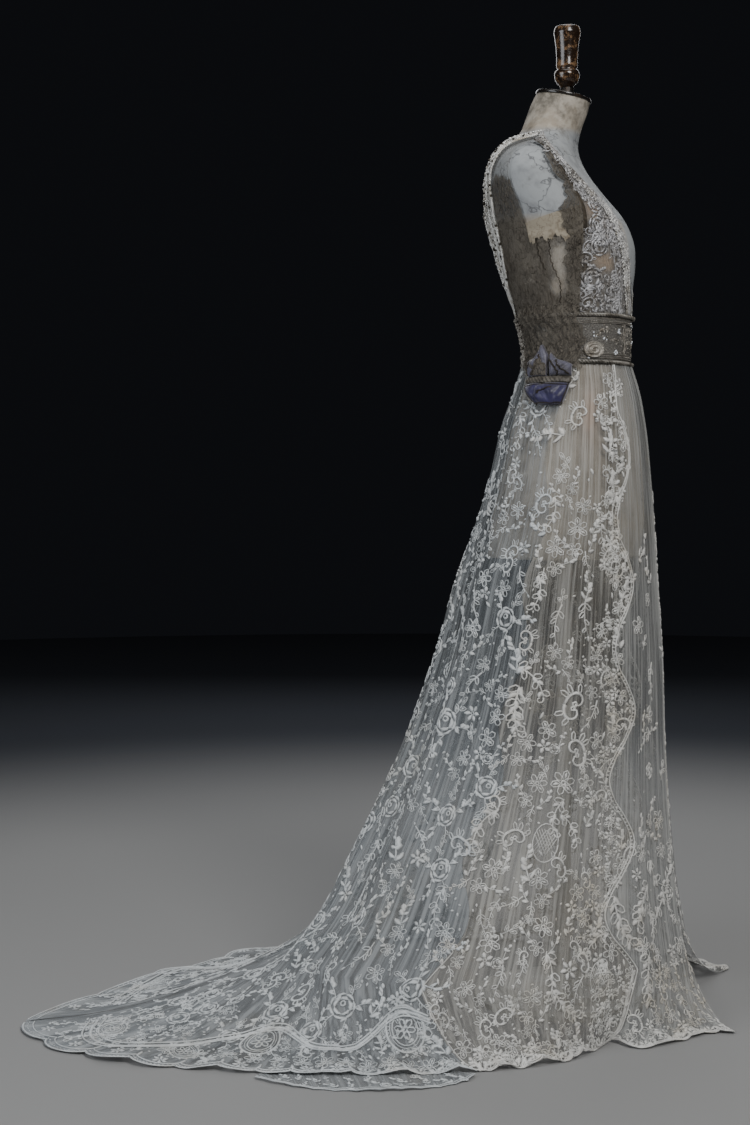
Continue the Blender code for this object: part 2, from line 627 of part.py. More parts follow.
def loft(name, rings, materials, material):
    """A closed solid through level or tipped rings of equal point count, from the lowest up."""
    rows, columns = rings.shape[:2]
    faces = grid_faces(rows, columns, 0, False, True)
    faces.append(tuple(range(columns))[::-1])
    faces.append(tuple((rows - 1) * columns + j for j in range(columns)))
    return mesh_piece(name, rings.reshape(-1, 3), faces, materials, material)


def make_form(materials):
    angles = np.linspace(0, 2 * math.pi, FORM_ROUND, endpoint=False)
    heights = column(FORM_SECTIONS, FORM_COLUMNS, "z")
    surface = form_surface(LEFT)
    rings = np.stack([surface(angles, np.full(len(angles), z)) for z in heights])
    loft("form_torso", rings, materials, "form_linen")
    bpy.ops.mesh.primitive_cylinder_add(
        vertices=36, radius=CAP_RADIUS, depth=CAP_THICKNESS, location=CAP_CENTRE,
        rotation=(0.0, CAP_TIP, 0.0))
    cap = bpy.context.object
    cap.name = "form_cap"
    rim = cap.modifiers.new("Rim", "BEVEL")
    rim.width = 0.0012
    rim.segments = 2
    rim.limit_method = "ANGLE"
    link(cap, materials, "dark_lacquer")


def make_collar(materials):
    """The metal collar between the tipped cap and the upright finial."""
    count = 24
    angles = np.linspace(0, 2 * math.pi, count, endpoint=False)
    low, high = COLLAR_RADII
    lift = CAP_THICKNESS / 2 + SEAM
    cap_x = CAP_CENTRE[0] + math.sin(CAP_TIP) * lift
    cap_z = CAP_CENTRE[2] + math.cos(CAP_TIP) * lift
    x = FINIAL_X + low * np.cos(angles)
    tipped = np.stack([x, low * np.sin(angles), cap_z - (x - cap_x) * math.tan(CAP_TIP)], axis=-1)
    level = np.stack([FINIAL_X + high * np.cos(angles), high * np.sin(angles),
                      np.full(count, FINIAL_BOTTOM - SEAM)], axis=-1)
    loft("form_collar", np.stack([tipped, level]), materials, "dark_iron")


def turned(name, profile, place, materials, material):
    """A solid of revolution: its profile runs down its outer side and is turned by a Screw."""
    mesh = bpy.data.meshes.new(name)
    points = [(radius, 0.0, height) for radius, height in profile]
    mesh.from_pydata(points, [(k, k + 1) for k in range(len(points) - 1)], [])
    piece = bpy.data.objects.new(name, mesh)
    piece.location = place
    screw = piece.modifiers.new("Turn", "SCREW")
    screw.axis = "Z"
    screw.angle = 2 * math.pi
    screw.steps = TURNED_STEPS
    screw.render_steps = TURNED_STEPS
    screw.use_merge_vertices = True
    screw.merge_threshold = 0.00005
    return link(piece, materials, material)


def make_stand(materials):
    turned("form_finial", FINIAL_PROFILE, (FINIAL_X, 0.0, FINIAL_BOTTOM), materials, "tortoiseshell")
    turned("stand_base", BASE_PROFILE, (0.0, 0.0, 0.0), materials, "dark_iron")
    low = BASE_PROFILE[0][1] + SEAM
    high = FORM_SECTIONS[0][0] - SEAM
    bpy.ops.mesh.primitive_cylinder_add(
        vertices=24, radius=POLE_RADIUS, depth=high - low, location=(0.0, 0.0, (low + high) / 2))
    pole = bpy.context.object
    pole.name = "stand_pole"
    link(pole, materials, "dark_iron")


def main():
    clear_scene()
    home = bpy.data.collections.new(COLLECTION)
    bpy.context.scene.collection.children.link(home)
    materials = make_materials()
    make_form(materials)
    make_collar(materials)
    make_stand(materials)
    make_bodice(materials)
    make_waistband(materials)
    make_medallion(materials)
    make_sash(materials)
    make_skirt(materials)
    make_under_hem(materials)


main()
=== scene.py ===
import math

import bpy
import numpy as np
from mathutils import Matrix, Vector


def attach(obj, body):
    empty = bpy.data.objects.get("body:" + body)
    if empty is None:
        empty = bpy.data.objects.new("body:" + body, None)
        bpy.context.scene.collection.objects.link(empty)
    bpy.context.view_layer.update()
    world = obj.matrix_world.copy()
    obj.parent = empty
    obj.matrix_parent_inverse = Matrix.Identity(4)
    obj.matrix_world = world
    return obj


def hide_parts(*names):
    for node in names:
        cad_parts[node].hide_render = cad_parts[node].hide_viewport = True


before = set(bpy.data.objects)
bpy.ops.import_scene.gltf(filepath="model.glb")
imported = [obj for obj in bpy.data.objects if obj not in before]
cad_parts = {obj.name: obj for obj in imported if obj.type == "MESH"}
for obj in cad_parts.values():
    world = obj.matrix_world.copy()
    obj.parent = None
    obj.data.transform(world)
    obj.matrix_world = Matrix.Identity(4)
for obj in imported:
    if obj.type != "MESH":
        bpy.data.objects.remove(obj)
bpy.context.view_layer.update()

print("frame loaded")

rightSide, leftSide = -1.0, 1.0
sides = (("R", rightSide), ("L", leftSide))
fullTurn = 2 * math.pi

# camera: level of the wearer's waist, a little in front of the side view
view = {
    "place": (0.2438, -3.2063, 0.897), "turn": math.radians(10.0),
    "tilt": math.radians(2.907),
    "lens": 61.44,
    "filmHeight": 36.0,
}

# the dress form, as in the solids: height, back and front on X, half width, forward tip in degrees
formTable = np.array([
    (0.745, -0.128, 0.124, 0.148, 0.0), (0.8, -0.122, 0.13, 0.16, 0.0),
    (0.88, -0.106, 0.128, 0.161, 0.0), (0.963, -0.087, 0.118, 0.145, 0.0),
    (1.02, -0.071, 0.106, 0.124, 0.0), (1.06, -0.064, 0.101, 0.112, 0.0),
    (1.1, -0.066, 0.102, 0.108, 0.0), (1.141, -0.077, 0.103, 0.109, 0.0),
    (1.18, -0.091, 0.108, 0.117, 0.0), (1.22, -0.105, 0.113, 0.128, 0.0),
    (1.26, -0.117, 0.111, 0.139, 0.0), (1.3, -0.128, 0.094, 0.151, 0.0),
    (1.34, -0.13, 0.061, 0.161, 0.0), (1.372, -0.126, 0.037, 0.162, 0.0),
    (1.396, -0.118, 0.024, 0.144, 0.0), (1.412, -0.108, 0.019, 0.114, 0.0),
    (1.424, -0.096, 0.018, 0.085, 1.0), (1.438, -0.08, 0.02, 0.063, 3.0),
    (1.4625, -0.068, 0.0265, 0.05, 6.0), (1.482, -0.06, 0.033, 0.046, 9.0), (1.5, -0.0506, 0.0374, 0.0445, 10.7),
])
ease = 0.0018
shoulderEase = 0.0014

# bodice edges from the waist (t 0) to the shoulder (t 1): angle from centre front, height
bodiceBottom = 1.1416
necklineTable = np.array([
    (0.0, 7.0, bodiceBottom), (0.2, 20.0, 1.19), (0.42, 29.0, 1.255), (0.6, 34.0, 1.315),
    (0.78, 50.0, 1.368), (0.9, 70.0, 1.408), (1.0, 89.0, 1.431),
])
frontSeamTable = np.array([
    (0.0, 80.0, bodiceBottom), (0.2, 76.0, 1.195), (0.42, 71.0, 1.258), (0.6, 62.0, 1.312),
    (0.78, 62.0, 1.362), (0.9, 72.0, 1.394), (1.0, 89.0, 1.41),
])
backSeamTable = np.array([
    (0.0, 112.0, bodiceBottom), (0.2, 113.0, 1.195), (0.42, 113.0, 1.258), (0.6, 112.0, 1.312),
    (0.78, 114.0, 1.362), (0.9, 106.0, 1.394), (1.0, 91.0, 1.41),
])
centreBackTable = np.array([
    (0.0, 180.0, bodiceBottom), (0.2, 180.0, 1.195), (0.42, 180.0, 1.258), (0.6, 180.0, 1.315),
    (0.78, 176.0, 1.372), (0.9, 150.0, 1.412), (1.0, 91.0, 1.431),
])
strapShareTable = np.array([(0.0, 0.82), (0.2, 0.62), (0.42, 0.48), (0.78, 0.42), (1.0, 0.42)])
underarm = 0.42
neckBandWidth = 0.02
armholeStripWidth = 0.008

# the skirt, as in the solids: height, back, front, half width, sweep of the train towards -Y
bandBottom = 1.058
bandTop = 1.141
skirtTable = np.array([
    (0.11, -0.425, 0.2, 0.322, -0.105), (0.16, -0.388, 0.191, 0.3, -0.085),
    (0.259, -0.338, 0.179, 0.268, -0.055), (0.424, -0.264, 0.167, 0.232, -0.025),
    (0.59, -0.207, 0.161, 0.207, -0.01), (0.715, -0.173, 0.152, 0.193, -0.005),
    (0.7975, -0.144, 0.147, 0.185, -0.002), (0.88, -0.12, 0.14, 0.177, 0.0),
    (0.963, -0.102, 0.131, 0.159, 0.0), (1.021, -0.082, 0.12, 0.136, 0.0),
    (bandBottom - 0.0004, -0.0715, 0.1085, 0.1195, 0.0),
])
skirtTop, breakHeight = skirtTable[-1, 0], skirtTable[0, 0]
floorFall = 2.1
hemTables = {
    rightSide: np.array([
        (0.0, 0.288, -0.164), (0.06, 0.241, -0.176), (0.12, 0.2, -0.222),
        (0.19, 0.136, -0.272), (0.245, 0.092, -0.246), (0.29, 0.068, -0.3),
        (0.36, 0.04, -0.346), (0.45, -0.018, -0.392), (0.55, -0.085, -0.424),
        (0.62, -0.16, -0.452), (0.7, -0.26, -0.474), (0.78, -0.372, -0.492),
        (0.85, -0.5, -0.492), (0.92, -0.66, -0.474), (0.965, -0.78, -0.41), (1.0, -0.854, -0.315),
    ]), leftSide: np.array([
        (0.0, 0.28, 0.236), (0.06, 0.246, 0.252), (0.12, 0.196, 0.3), (0.19, 0.13, 0.328),
        (0.29, 0.04, 0.352), (0.42, -0.08, 0.372), (0.55, -0.22, 0.378), (0.68, -0.38, 0.342),
        (0.78, -0.52, 0.27), (0.85, -0.606, 0.183), (0.9, -0.672, 0.079),
        (0.945, -0.74, -0.04), (0.975, -0.806, -0.165), (1.0, -0.854, -0.315),
    ]),
}
foldTables = {
    rightSide: np.array([
        (0.05, 0.006, 0.02), (0.125, -0.006, 0.022), (0.2, 0.008, 0.02), (0.3, -0.005, 0.025),
        (0.4, 0.007, 0.03), (0.49, -0.007, 0.024), (0.58, 0.009, 0.022), (0.66, -0.01, 0.022),
        (0.74, 0.013, 0.022), (0.82, -0.012, 0.025), (0.9, 0.015, 0.024), (0.97, -0.01, 0.018),
    ]), leftSide: np.array([
        (0.06, 0.007, 0.022), (0.15, -0.007, 0.022), (0.23, 0.006, 0.024), (0.33, -0.008, 0.022),
        (0.43, 0.01, 0.026), (0.52, -0.008, 0.022), (0.61, 0.007, 0.024), (0.7, -0.011, 0.024),
        (0.78, 0.014, 0.022), (0.86, -0.01, 0.024), (0.935, 0.012, 0.02),
    ]),
}
sideEdges = {"front": 0.245, "back": 0.555, "reach": 0.034, "height": 0.205, "top": 0.915}
borderStart = 1.42


def readSmooth(where, table, column=1):
    # cubic through every row of a table, with slopes from the rows on either side
    keys, values = table[:, 0], table[:, column]
    slopes = np.gradient(values, keys)
    where = np.asarray(where, dtype=float)
    low = np.clip(np.searchsorted(keys, where) - 1, 0, len(keys) - 2)
    span = keys[low + 1] - keys[low]
    u = np.clip((where - keys[low]) / span, 0.0, 1.0)
    start = (2 * u**3 - 3 * u**2 + 1) * values[low] + (u**3 - 2 * u**2 + u) * span * slopes[low]
    end = (3 * u**2 - 2 * u**3) * values[low + 1] + (u**3 - u**2) * span * slopes[low + 1]
    return start + end


def spread(a, b):
    # two parameters brought to one grid
    return np.broadcast_arrays(np.asarray(a, float), np.asarray(b, float))


def ramp(value, low, high):
    # smooth step from 0 at low to 1 at high
    t = np.clip((value - low) / (high - low), 0.0, 1.0)
    return t * t * (3 - 2 * t)


def formSkin(side):
    # ellipse at each height, its plane tipped forward at the neck
    def skin(angle, z):
        back, front, half, tip = (readSmooth(z, formTable, k) for k in (1, 2, 3, 4))
        reach = (front - back) / 2 * np.cos(angle)
        return np.stack([(front + back) / 2 + reach, side * half * np.sin(angle),
            z - reach * np.tan(np.radians(tip))], axis=-1)
    return skin


def skirtSkin(side, folded=True):
    # ellipses from the waist (v 0) to the break (v 1), then a fall out to the hem line (v 2)
    hem, folds = hemTables[side], foldTables[side]

    def skin(s, v):
        s, v = spread(s, v)
        hang, away = np.clip(v, 0, 1), np.clip(v - 1, 0, 1)
        z = skirtTop + (breakHeight - skirtTop) * hang
        back, front, half, sweep = (readSmooth(z, skirtTable, k) for k in (1, 2, 3, 4))
        angle = math.pi * s
        x = (front + back) / 2 + (front - back) / 2 * np.cos(angle)
        y = side * half * np.sin(angle) + sweep * (1 - np.cos(angle)) / 2
        hemX, hemY = readSmooth(s, hem), readSmooth(s, hem, 2)
        parted = side * 0.03 * np.clip((hang - 0.68) / 0.32, 0, 1) ** 1.5 * np.exp(-(s / 0.1) ** 2)
        x = x + (hemX - x) * away
        y = y + parted + (hemY - y - parted) * away
        z = z * (1 - away) ** floorFall
        if folded:
            fall = np.clip(0.12 + 0.88 * hang, 0, 1) * (1 - 0.55 * away)
            out = sum(deep * np.exp(-((s - place) / wide) ** 2) for place, deep, wide in folds) * fall
            norm = np.hypot(np.cos(angle) / (front - back), np.sin(angle) / half / 2)
            x = x + out * np.cos(angle) / (front - back) / norm * (1 - away)
            y = y + side * out * np.sin(angle) / half / 2 / norm * (1 - away)
            z = z + np.abs(out) * away
        return np.stack([x, y, z], axis=-1)
    return skin


def unit(vectors):
    return vectors / np.maximum(np.linalg.norm(vectors, axis=-1, keepdims=True), 1e-12)


def skinNormals(skin, a, b, turn, step=1e-4):
    # cross product of small steps along both parameters
    return unit(np.cross(skin(a + step, b) - skin(a - step, b), skin(a, b + step) - skin(a, b - step)) * turn)


pleats = {"count": 31, "topDepth": 0.0021, "lowDepth": 0.0011, "floorDepth": 0.0006, "ruffles": 13,
    "ruffleRise": 0.0075}


def pleatWave(side, s, v):
    # a cosine round the waist, its spacing and its depth uneven, easing off towards the floor
    phase = fullTurn * (pleats["count"] * s + 0.45 * np.sin(19.5 * s + side) + 0.3 * np.sin(43.0 * s)
        + 0.03 * np.sin(5.0 * v + 9.0 * s))
    uneven = 0.62 + 0.38 * np.sin(71.0 * s + 2.0 * side) * np.sin(13.0 * s + 1.3 * v)
    return np.cos(phase), uneven


def skirtCloth(side):
    # the skirt's skin with its pleats, and with waves where the hem lies on the floor
    skin = skirtSkin(side)

    def cloth(s, v, lift=0.0):
        s, v = spread(s, v)
        out = skinNormals(skin, s, v, -side)
        wave, uneven = pleatWave(side, s, v)
        depth = pleats["topDepth"] + (pleats["lowDepth"] - pleats["topDepth"]) * ramp(v, 0, 0.9)
        depth = depth + (pleats["floorDepth"] - depth) * ramp(v, 0.95, 1.6)
        rise = pleats["ruffleRise"] * ramp(v, 1.45, 1.9) * (1 - 0.35 * ramp(v, 1.9, 2.0))
        rise = rise * (1 + 0.9 * np.exp(-((s - 0.42) / 0.13) ** 2))
        ruffle = 0.5 + 0.5 * np.sin(fullTurn * pleats["ruffles"] * s + 2.2 * np.sin(9 * s) + 3 * v)
        points = skin(s, v) + out * (wave * uneven * depth + lift)[..., None]
        points[..., 2] = np.maximum(points[..., 2] + ruffle * rise, 0.0016 + lift)
        return points
    return cloth


def sideEdge(v):
    # places of the side lace panel's scalloped front and back edges
    z = skirtTop + (breakHeight - skirtTop) * np.clip(v, 0, 1)
    wave = np.cos(fullTurn * (z - sideEdges["top"]) / sideEdges["height"])
    fade = np.clip(v / 0.1, 0, 1) * (1 - np.clip(v - 1, 0, 1))
    return (sideEdges["front"] - sideEdges["reach"] * wave * fade,
        sideEdges["back"] + sideEdges["reach"] * 0.6 * wave * fade)


def level(place):
    # the same place round the skirt at every height
    return lambda v: place + 0 * v


def near(gap=0.0):
    # a line down the skirt a gap behind the side panel's front edge
    return lambda v: sideEdge(v)[0] + gap


def far(gap=0.0):
    # the same at the side panel's back edge
    return lambda v: sideEdge(v)[1] + gap


def buildMesh(name, points, quads=None, tris=None, material=None, uv=None, fields=None):
    # one mesh from whole arrays of points and faces; uv and fields are per point
    mesh = bpy.data.meshes.new(name)
    points = np.ascontiguousarray(points.reshape(-1, 3), dtype=np.float32)
    groups = [faces for faces in (quads, tris) if faces is not None and len(faces)]
    corners = np.concatenate([faces.ravel() for faces in groups]).astype(np.int32)
    totals = np.concatenate([np.full(len(faces), faces.shape[1]) for faces in groups]).astype(np.int32)
    mesh.vertices.add(len(points))
    mesh.vertices.foreach_set("co", points.ravel())
    mesh.loops.add(len(corners))
    mesh.loops.foreach_set("vertex_index", corners)
    mesh.polygons.add(len(totals))
    mesh.polygons.foreach_set("loop_start", np.concatenate([[0], np.cumsum(totals)[:-1]]).astype(np.int32))
    mesh.polygons.foreach_set("loop_total", totals)
    mesh.polygons.foreach_set("use_smooth", np.ones(len(totals), dtype=bool))
    mesh.update(calc_edges=True)
    if uv is not None:
        layer = mesh.uv_layers.new(name="metres")
        layer.data.foreach_set("uv", uv.reshape(-1, 2)[corners].astype(np.float32).ravel())
    for key, values in (fields or {}).items():
        field = mesh.attributes.new(key, "FLOAT", "POINT")
        field.data.foreach_set("value", np.asarray(values, dtype=np.float32).ravel())
    piece = bpy.data.objects.new(name, mesh)
    bpy.context.scene.collection.objects.link(piece)
    if material is not None:
        mesh.materials.append(material)
    return piece


def gridQuads(rows, columns, flip=False, roundTrip=False):
    # the four corners of each cell, row by row; a round trip joins the last column to the first
    i = np.arange(rows - 1)[:, None]
    j = np.arange(columns if roundTrip else columns - 1)[None, :]
    a, b = i * columns + j, i * columns + (j + 1) % columns
    quads = np.stack([a, b, b + columns, a + columns], axis=-1).reshape(-1, 4)
    return quads[:, ::-1] if flip else quads


def fan(steps, middle):
    # triangles from the first ring of points to one in its middle
    j = np.arange(steps)
    return np.stack([j, (j + 1) % steps, np.full(steps, middle)], axis=-1)


def metricUv(grid):
    # lengths along the cloth, across from its middle and down from its top
    across = np.linalg.norm(np.diff(grid, axis=1), axis=-1)
    down = np.linalg.norm(np.diff(grid, axis=0), axis=-1)
    u = np.concatenate([np.zeros((len(grid), 1)), np.cumsum(across, axis=1)], axis=1)
    v = np.concatenate([np.zeros((1, grid.shape[1])), np.cumsum(down, axis=0)], axis=0)
    return np.stack([u - u[:, -1:] / 2, v], axis=-1)


def sheetMesh(name, grid, flip, material, fields=None, thickness=0.0, uv=None):
    piece = buildMesh(name, grid, gridQuads(*grid.shape[:2], flip), material=material,
        uv=metricUv(grid) if uv is None else uv, fields=fields)
    if thickness:
        wall = piece.modifiers.new("Thickness", "SOLIDIFY")
        wall.thickness = thickness
        wall.offset = -1.0
    return piece


# needlework: each motif is a set of raised strokes, drawn flat in metres
def strokePoints(path, width, rise):
    # two edges and a raised spine along a path
    run = unit(np.gradient(path, axis=0))
    across = np.stack([-run[:, 1], run[:, 0]], axis=-1) * (width / 2)[:, None]
    flat = np.stack([path + across, path, path - across], axis=1)
    high = np.stack([0 * width, np.minimum(width * 0.45, rise), 0 * width], axis=1)
    return np.concatenate([flat, high[..., None]], axis=-1).reshape(-1, 3)


def strokeFaces(count):
    # three strips along a stroke, closed by a triangle at each end
    i = np.arange(count - 1)[:, None] * 3
    sidesOf = np.array([[0, 1, 4, 3], [1, 2, 5, 4], [0, 3, 5, 2]])
    quads = (i[:, None] + sidesOf[None]).reshape(-1, 4)
    last = (count - 1) * 3
    return quads, np.array([[0, 2, 1], [last, last + 1, last + 2]])


def joinParts(parts):
    # points, quads and triangles of several parts as one, each part's faces counted on from the last
    starts = np.cumsum([0] + [len(points) for points, _, _ in parts])
    return (np.concatenate([points for points, _, _ in parts]),
        np.concatenate([quads + start for (_, quads, _), start in zip(parts, starts)]),
        np.concatenate([tris + start for (_, _, tris), start in zip(parts, starts)]))


def joinStrokes(strokes, rise):
    return joinParts([(strokePoints(np.asarray(path, float), np.broadcast_to(width, len(path)).astype(float), rise),
        *strokeFaces(len(path))) for path, width in strokes])


def arcPath(start, heading, length, bend, count, curl=1.0):
    # a path whose heading turns by bend over its length, faster towards its end when curl is above 1
    t = np.linspace(0, 1, count)
    angle = heading + bend * t**curl
    step = np.stack([np.cos(angle), np.sin(angle)], axis=-1) * length / (count - 1)
    return np.asarray(start, float) + np.concatenate([np.zeros((1, 2)), np.cumsum((step[1:] + step[:-1]) / 2,
        axis=0)])


def turned(angle):
    return np.array([[math.cos(angle), math.sin(angle)], [-math.sin(angle), math.cos(angle)]])


def leaf(start, heading, length, width, bend=0.0, count=6):
    t = np.linspace(0, 1, count)
    return arcPath(start, heading, length, bend, count), width * np.sin(math.pi * (0.06 + 0.9 * t)) ** 0.8


def loop(start, heading, length, width, thread, count=11):
    # an oval of thread from its start out along the heading
    t = np.linspace(0, fullTurn, count)
    along, across = length * (1 - np.cos(t)) / 2, width / 2 * np.sin(t)
    return np.asarray(start, float) + np.stack([along, across], axis=-1) @ turned(heading), np.full(count, thread)


def ring(radius, thread, count=15, squash=1.0, centre=(0, 0)):
    t = np.linspace(0, fullTurn, count)
    return np.asarray(centre, float) + np.stack([radius * np.cos(t), radius * squash * np.sin(t)],
        axis=-1), np.full(count, thread)


def polar(radius, angle):
    return np.array([radius * math.cos(angle), radius * math.sin(angle)])


def petalFlower(petals=6, fill=0.26, thread=0.11):
    # petals outlined by thick cords, every other one worked closer, about a ring of knots
    strokes = [ring(0.16, 0.17, 7)]
    for k in range(petals):
        a = fullTurn * k / petals + 0.3
        strokes.append(loop(polar(0.22, a), a, 0.72 + 0.14 * math.sin(3.1 * k), 2.9 / petals, thread, 7))
        if k % 2:
            strokes.append(leaf(polar(0.34, a), a, 0.48, fill, count=3))
    return strokes


def starFlower(petals=6):
    strokes = [ring(0.2, 0.14, 7)]
    for k in range(petals):
        a = fullTurn * k / petals + 0.2
        strokes.append(leaf(polar(0.26, a), a, 0.74, 3.3 / petals, count=4))
    return strokes


def fullRose():
    # a spiral heart inside two turns of overlapping petals
    strokes = [(arcPath((-0.1, 0), 0.0, 1.5, 7.5, 10), np.linspace(0.19, 0.12, 10))]
    for count, radius, length, width, lead in ((5, 0.6, 0.78, 0.36, 0.55), (7, 0.93, 0.84, 0.3, 0.42)):
        for k in range(count):
            a = fullTurn * k / count + lead
            strokes.append(leaf(polar(radius, a - lead), a + math.pi / 2 - lead, length, width, 2 * lead + 0.1, 4))
    return strokes


def leafSpray(pairs=4, bend=0.8, plump=0.38):
    # leaves by turns up a bent stem, uneven in length and lean, shorter towards its tip
    stem = arcPath((-0.1, -1.0), math.pi / 2 - bend / 2, 1.75, bend, 6)
    strokes = [(stem, np.linspace(0.1, 0.06, 6))]
    for k in range(2 * pairs):
        share, hand = (k + 0.6) / (2 * pairs), 1 if k % 2 else -1
        heading = math.pi / 2 - bend / 2 + bend * share
        at = stem[int(share * 4.8)] + (stem[int(share * 4.8) + 1] - stem[int(share * 4.8)]) * (k % 3) / 3
        strokes.append(leaf(at, heading + hand * (0.95 + 0.3 * math.sin(2.6 * k)),
            0.58 - 0.22 * share + 0.1 * math.sin(1.9 * k), plump * (0.85 + 0.2 * math.cos(3.3 * k)), -hand * 0.5, 4))
    strokes.append(leaf(stem[-1], math.pi / 2 + bend / 2, 0.36, plump * 0.9, count=4))
    return strokes


def curlScroll():
    # a thick stem that curls in at both ends, with leaves along its outer side
    low = arcPath((0.0, -0.1), -1.9, 1.7, 4.9, 10, 1.5)
    high = arcPath((0.0, -0.1), 1.25, 2.0, -5.2, 11, 1.6)
    strokes = [(low, np.linspace(0.2, 0.1, 10)), (high, np.linspace(0.2, 0.1, 11))]
    for path, k, heading, length in ((high, 2, 2.5, 0.46), (high, 3, 2.0, 0.5), (high, 5, 1.5, 0.46),
            (low, 2, -2.9, 0.44), (low, 4, -2.3, 0.4)):
        strokes.append(loop(path[k], heading, length, 0.21, 0.085, 7))
    return strokes + [ring(0.11, 0.12, 6, centre=high[-1]), ring(0.1, 0.11, 6, centre=low[-1])]


def bellString(count=5):
    # loops that hang from a bent stem, smaller towards its tip
    stem = arcPath((0.25, 1.0), -math.pi / 2 - 0.35, 2.0, 0.7, 6)
    strokes = [(stem, np.linspace(0.11, 0.05, 6))]
    for k in range(count):
        hand = 1 if k % 2 else -1
        strokes.append(loop(stem[1 + k * 4 // count], -math.pi / 2 + hand * 0.75, 0.5 - 0.05 * k, 0.22 - 0.02 * k,
            0.085, 7))
    return strokes + [leaf(stem[-1], -math.pi / 2, 0.3, 0.14, count=4)]


def budSprig():
    stem = arcPath((0, -1.0), math.pi / 2 - 0.2, 1.1, 0.4, 4)
    strokes = [(stem, np.full(4, 0.1))]
    for heading, at, length in ((2.35, 1, 0.7), (0.75, 2, 0.7), (1.57, 3, 0.85)):
        strokes.append(loop(stem[at], heading, length, 0.34, 0.1, 7))
        strokes.append(leaf(stem[at] + polar(0.12, heading), heading, length * 0.6, 0.18, count=3))
    return strokes


def garland(count=5, bend=1.1):
    # a long hanging stem that swings over and ends in a curl, outlined leaves on one side of it and
    # small worked ones on the other
    stem = arcPath((0.22, 1.05), -math.pi / 2 - bend / 2, 1.9, bend, 8)
    strokes = [(stem, np.linspace(0.09, 0.07, 8))]
    for k in range(count):
        share = (k + 0.3) / count
        heading = -math.pi / 2 - bend / 2 + bend * share
        hand = 1 if k % 2 else -1
        strokes.append(loop(stem[int(share * 7.5)], heading + hand * 0.9, 0.5 - 0.14 * share, 0.26, 0.08, 7))
        strokes.append(leaf(stem[int(share * 7.5)], heading - hand * (0.75 + 0.4 * math.sin(2.1 * k)),
            0.42 - 0.1 * share, 0.25, hand * 0.5, 4))
    return strokes + [(arcPath(stem[-1], -math.pi / 2 + bend / 2, 0.75, 5.0, 7, 1.4), np.linspace(0.1, 0.06, 7))]


def lattice(lines=6):
    # crossing threads inside an outlined oval
    strokes = [ring(0.95, 0.1, 19, 1.5)]
    for k in range(lines):
        off = 1.7 * ((k + 0.5) / lines - 0.5)
        for hand in (1, -1):
            reach = 0.95 * math.sqrt(1 - (off / 1.05) ** 2)
            along, across = np.array([0.55 * hand, 1.0]), np.array([1.0, -0.55 * hand]) * off * 0.62
            strokes.append((np.stack([across - along * reach, across, across + along * reach]), np.full(3, 0.055)))
    return strokes


def medallion():
    strokes = [ring(1.0, 0.16, 25, 1.22), ring(0.8, 0.05, 21, 1.25), ring(0.66, 0.09, 19, 1.28)]
    for k in range(16):
        a = fullTurn * k / 16
        strokes.append(leaf(polar(1.06, a) * (1, 1.2), a, 0.19, 0.24, count=3))
    for k in range(6):
        a = fullTurn * k / 6 + 0.5
        strokes.append(loop(polar(0.1, a), a, 0.46, 0.28, 0.1, 7))
    return strokes


def mirrored(strokes):
    return [(np.asarray(path) * (-1, 1), width) for path, width in strokes]


def gather(*parts):
    # motifs brought together into one, each placed, turned and sized
    strokes = []
    for shape, place, angle, size in parts:
        strokes += [(np.asarray(path) @ turned(angle) * size + np.array(place), np.asarray(width) * size)
            for path, width in shape]
    return strokes


# every motif has a size of 1 here, made once for all of its copies
motifKinds = {
    "petalFlower": petalFlower(), "fivePetal": petalFlower(5, 0.24, 0.12), "starFlower": starFlower(),
    "rose": fullRose(), "spray": leafSpray(), "sprayLeft": mirrored(leafSpray()), "curl": curlScroll(),
    "curlLeft": mirrored(curlScroll()), "bells": bellString(), "bellsLeft": mirrored(bellString()),
    "buds": budSprig(), "garland": garland(), "garlandLeft": mirrored(garland()), "longGarland": garland(8, 0.7),
    "lattice": lattice(), "medallion": medallion(),
    "leaf": [leaf((0, -0.5), math.pi / 2, 1.0, 0.46, 0.25, 4)], "dot": [leaf((-1, 0), 0.0, 2.0, 1.5, count=4)],
    "bouquet": gather((fullRose(), (0.0, 0.05), 0.0, 0.42), (leafSpray(3), (-0.62, 0.42), 0.9, 0.48),
        (mirrored(leafSpray(3)), (0.62, 0.36), -0.9, 0.48), (budSprig(), (0.05, 0.8), 0.1, 0.4),
        (bellString(4), (-0.3, -0.72), -0.2, 0.42), (leafSpray(3), (0.42, -0.62), 3.5, 0.4)),
    "trail": gather((petalFlower(), (0.05, 0.52), 0.0, 0.4), (petalFlower(5, 0.24, 0.12), (-0.18, -0.2), 0.5, 0.3),
        (leafSpray(3), (0.5, 0.02), -0.5, 0.42), (mirrored(leafSpray(3)), (-0.6, 0.28), 0.7, 0.4),
        (bellString(5), (0.1, -0.72), 0.1, 0.42)),
    "wreath": gather((curlScroll(), (-0.34, 0.1), 0.2, 0.52), (mirrored(curlScroll()), (0.4, -0.2), 0.1, 0.46),
        (starFlower(), (0.1, 0.62), 0.0, 0.3), (budSprig(), (0.02, -0.72), 3.0, 0.36)),
}
motifKinds["posy"] = gather((petalFlower(5, 0.32, 0.13), (0.02, 0.36), 0.0, 0.5), (starFlower(5), (0.46, -0.3), 0.3,
    0.36), (leafSpray(2, 0.8, 0.46), (-0.42, -0.34), 0.7, 0.46), (fullRose(), (0.02, -0.6), 0.0, 0.26))
motifKinds["posyLeft"] = mirrored(motifKinds["posy"])
motifKinds["trailLeft"] = mirrored(motifKinds["trail"])
motifKinds["bouquetLeft"] = mirrored(motifKinds["bouquet"])
motifMeshes = {kind: joinStrokes(strokes, rise=0.1) for kind, strokes in motifKinds.items()}


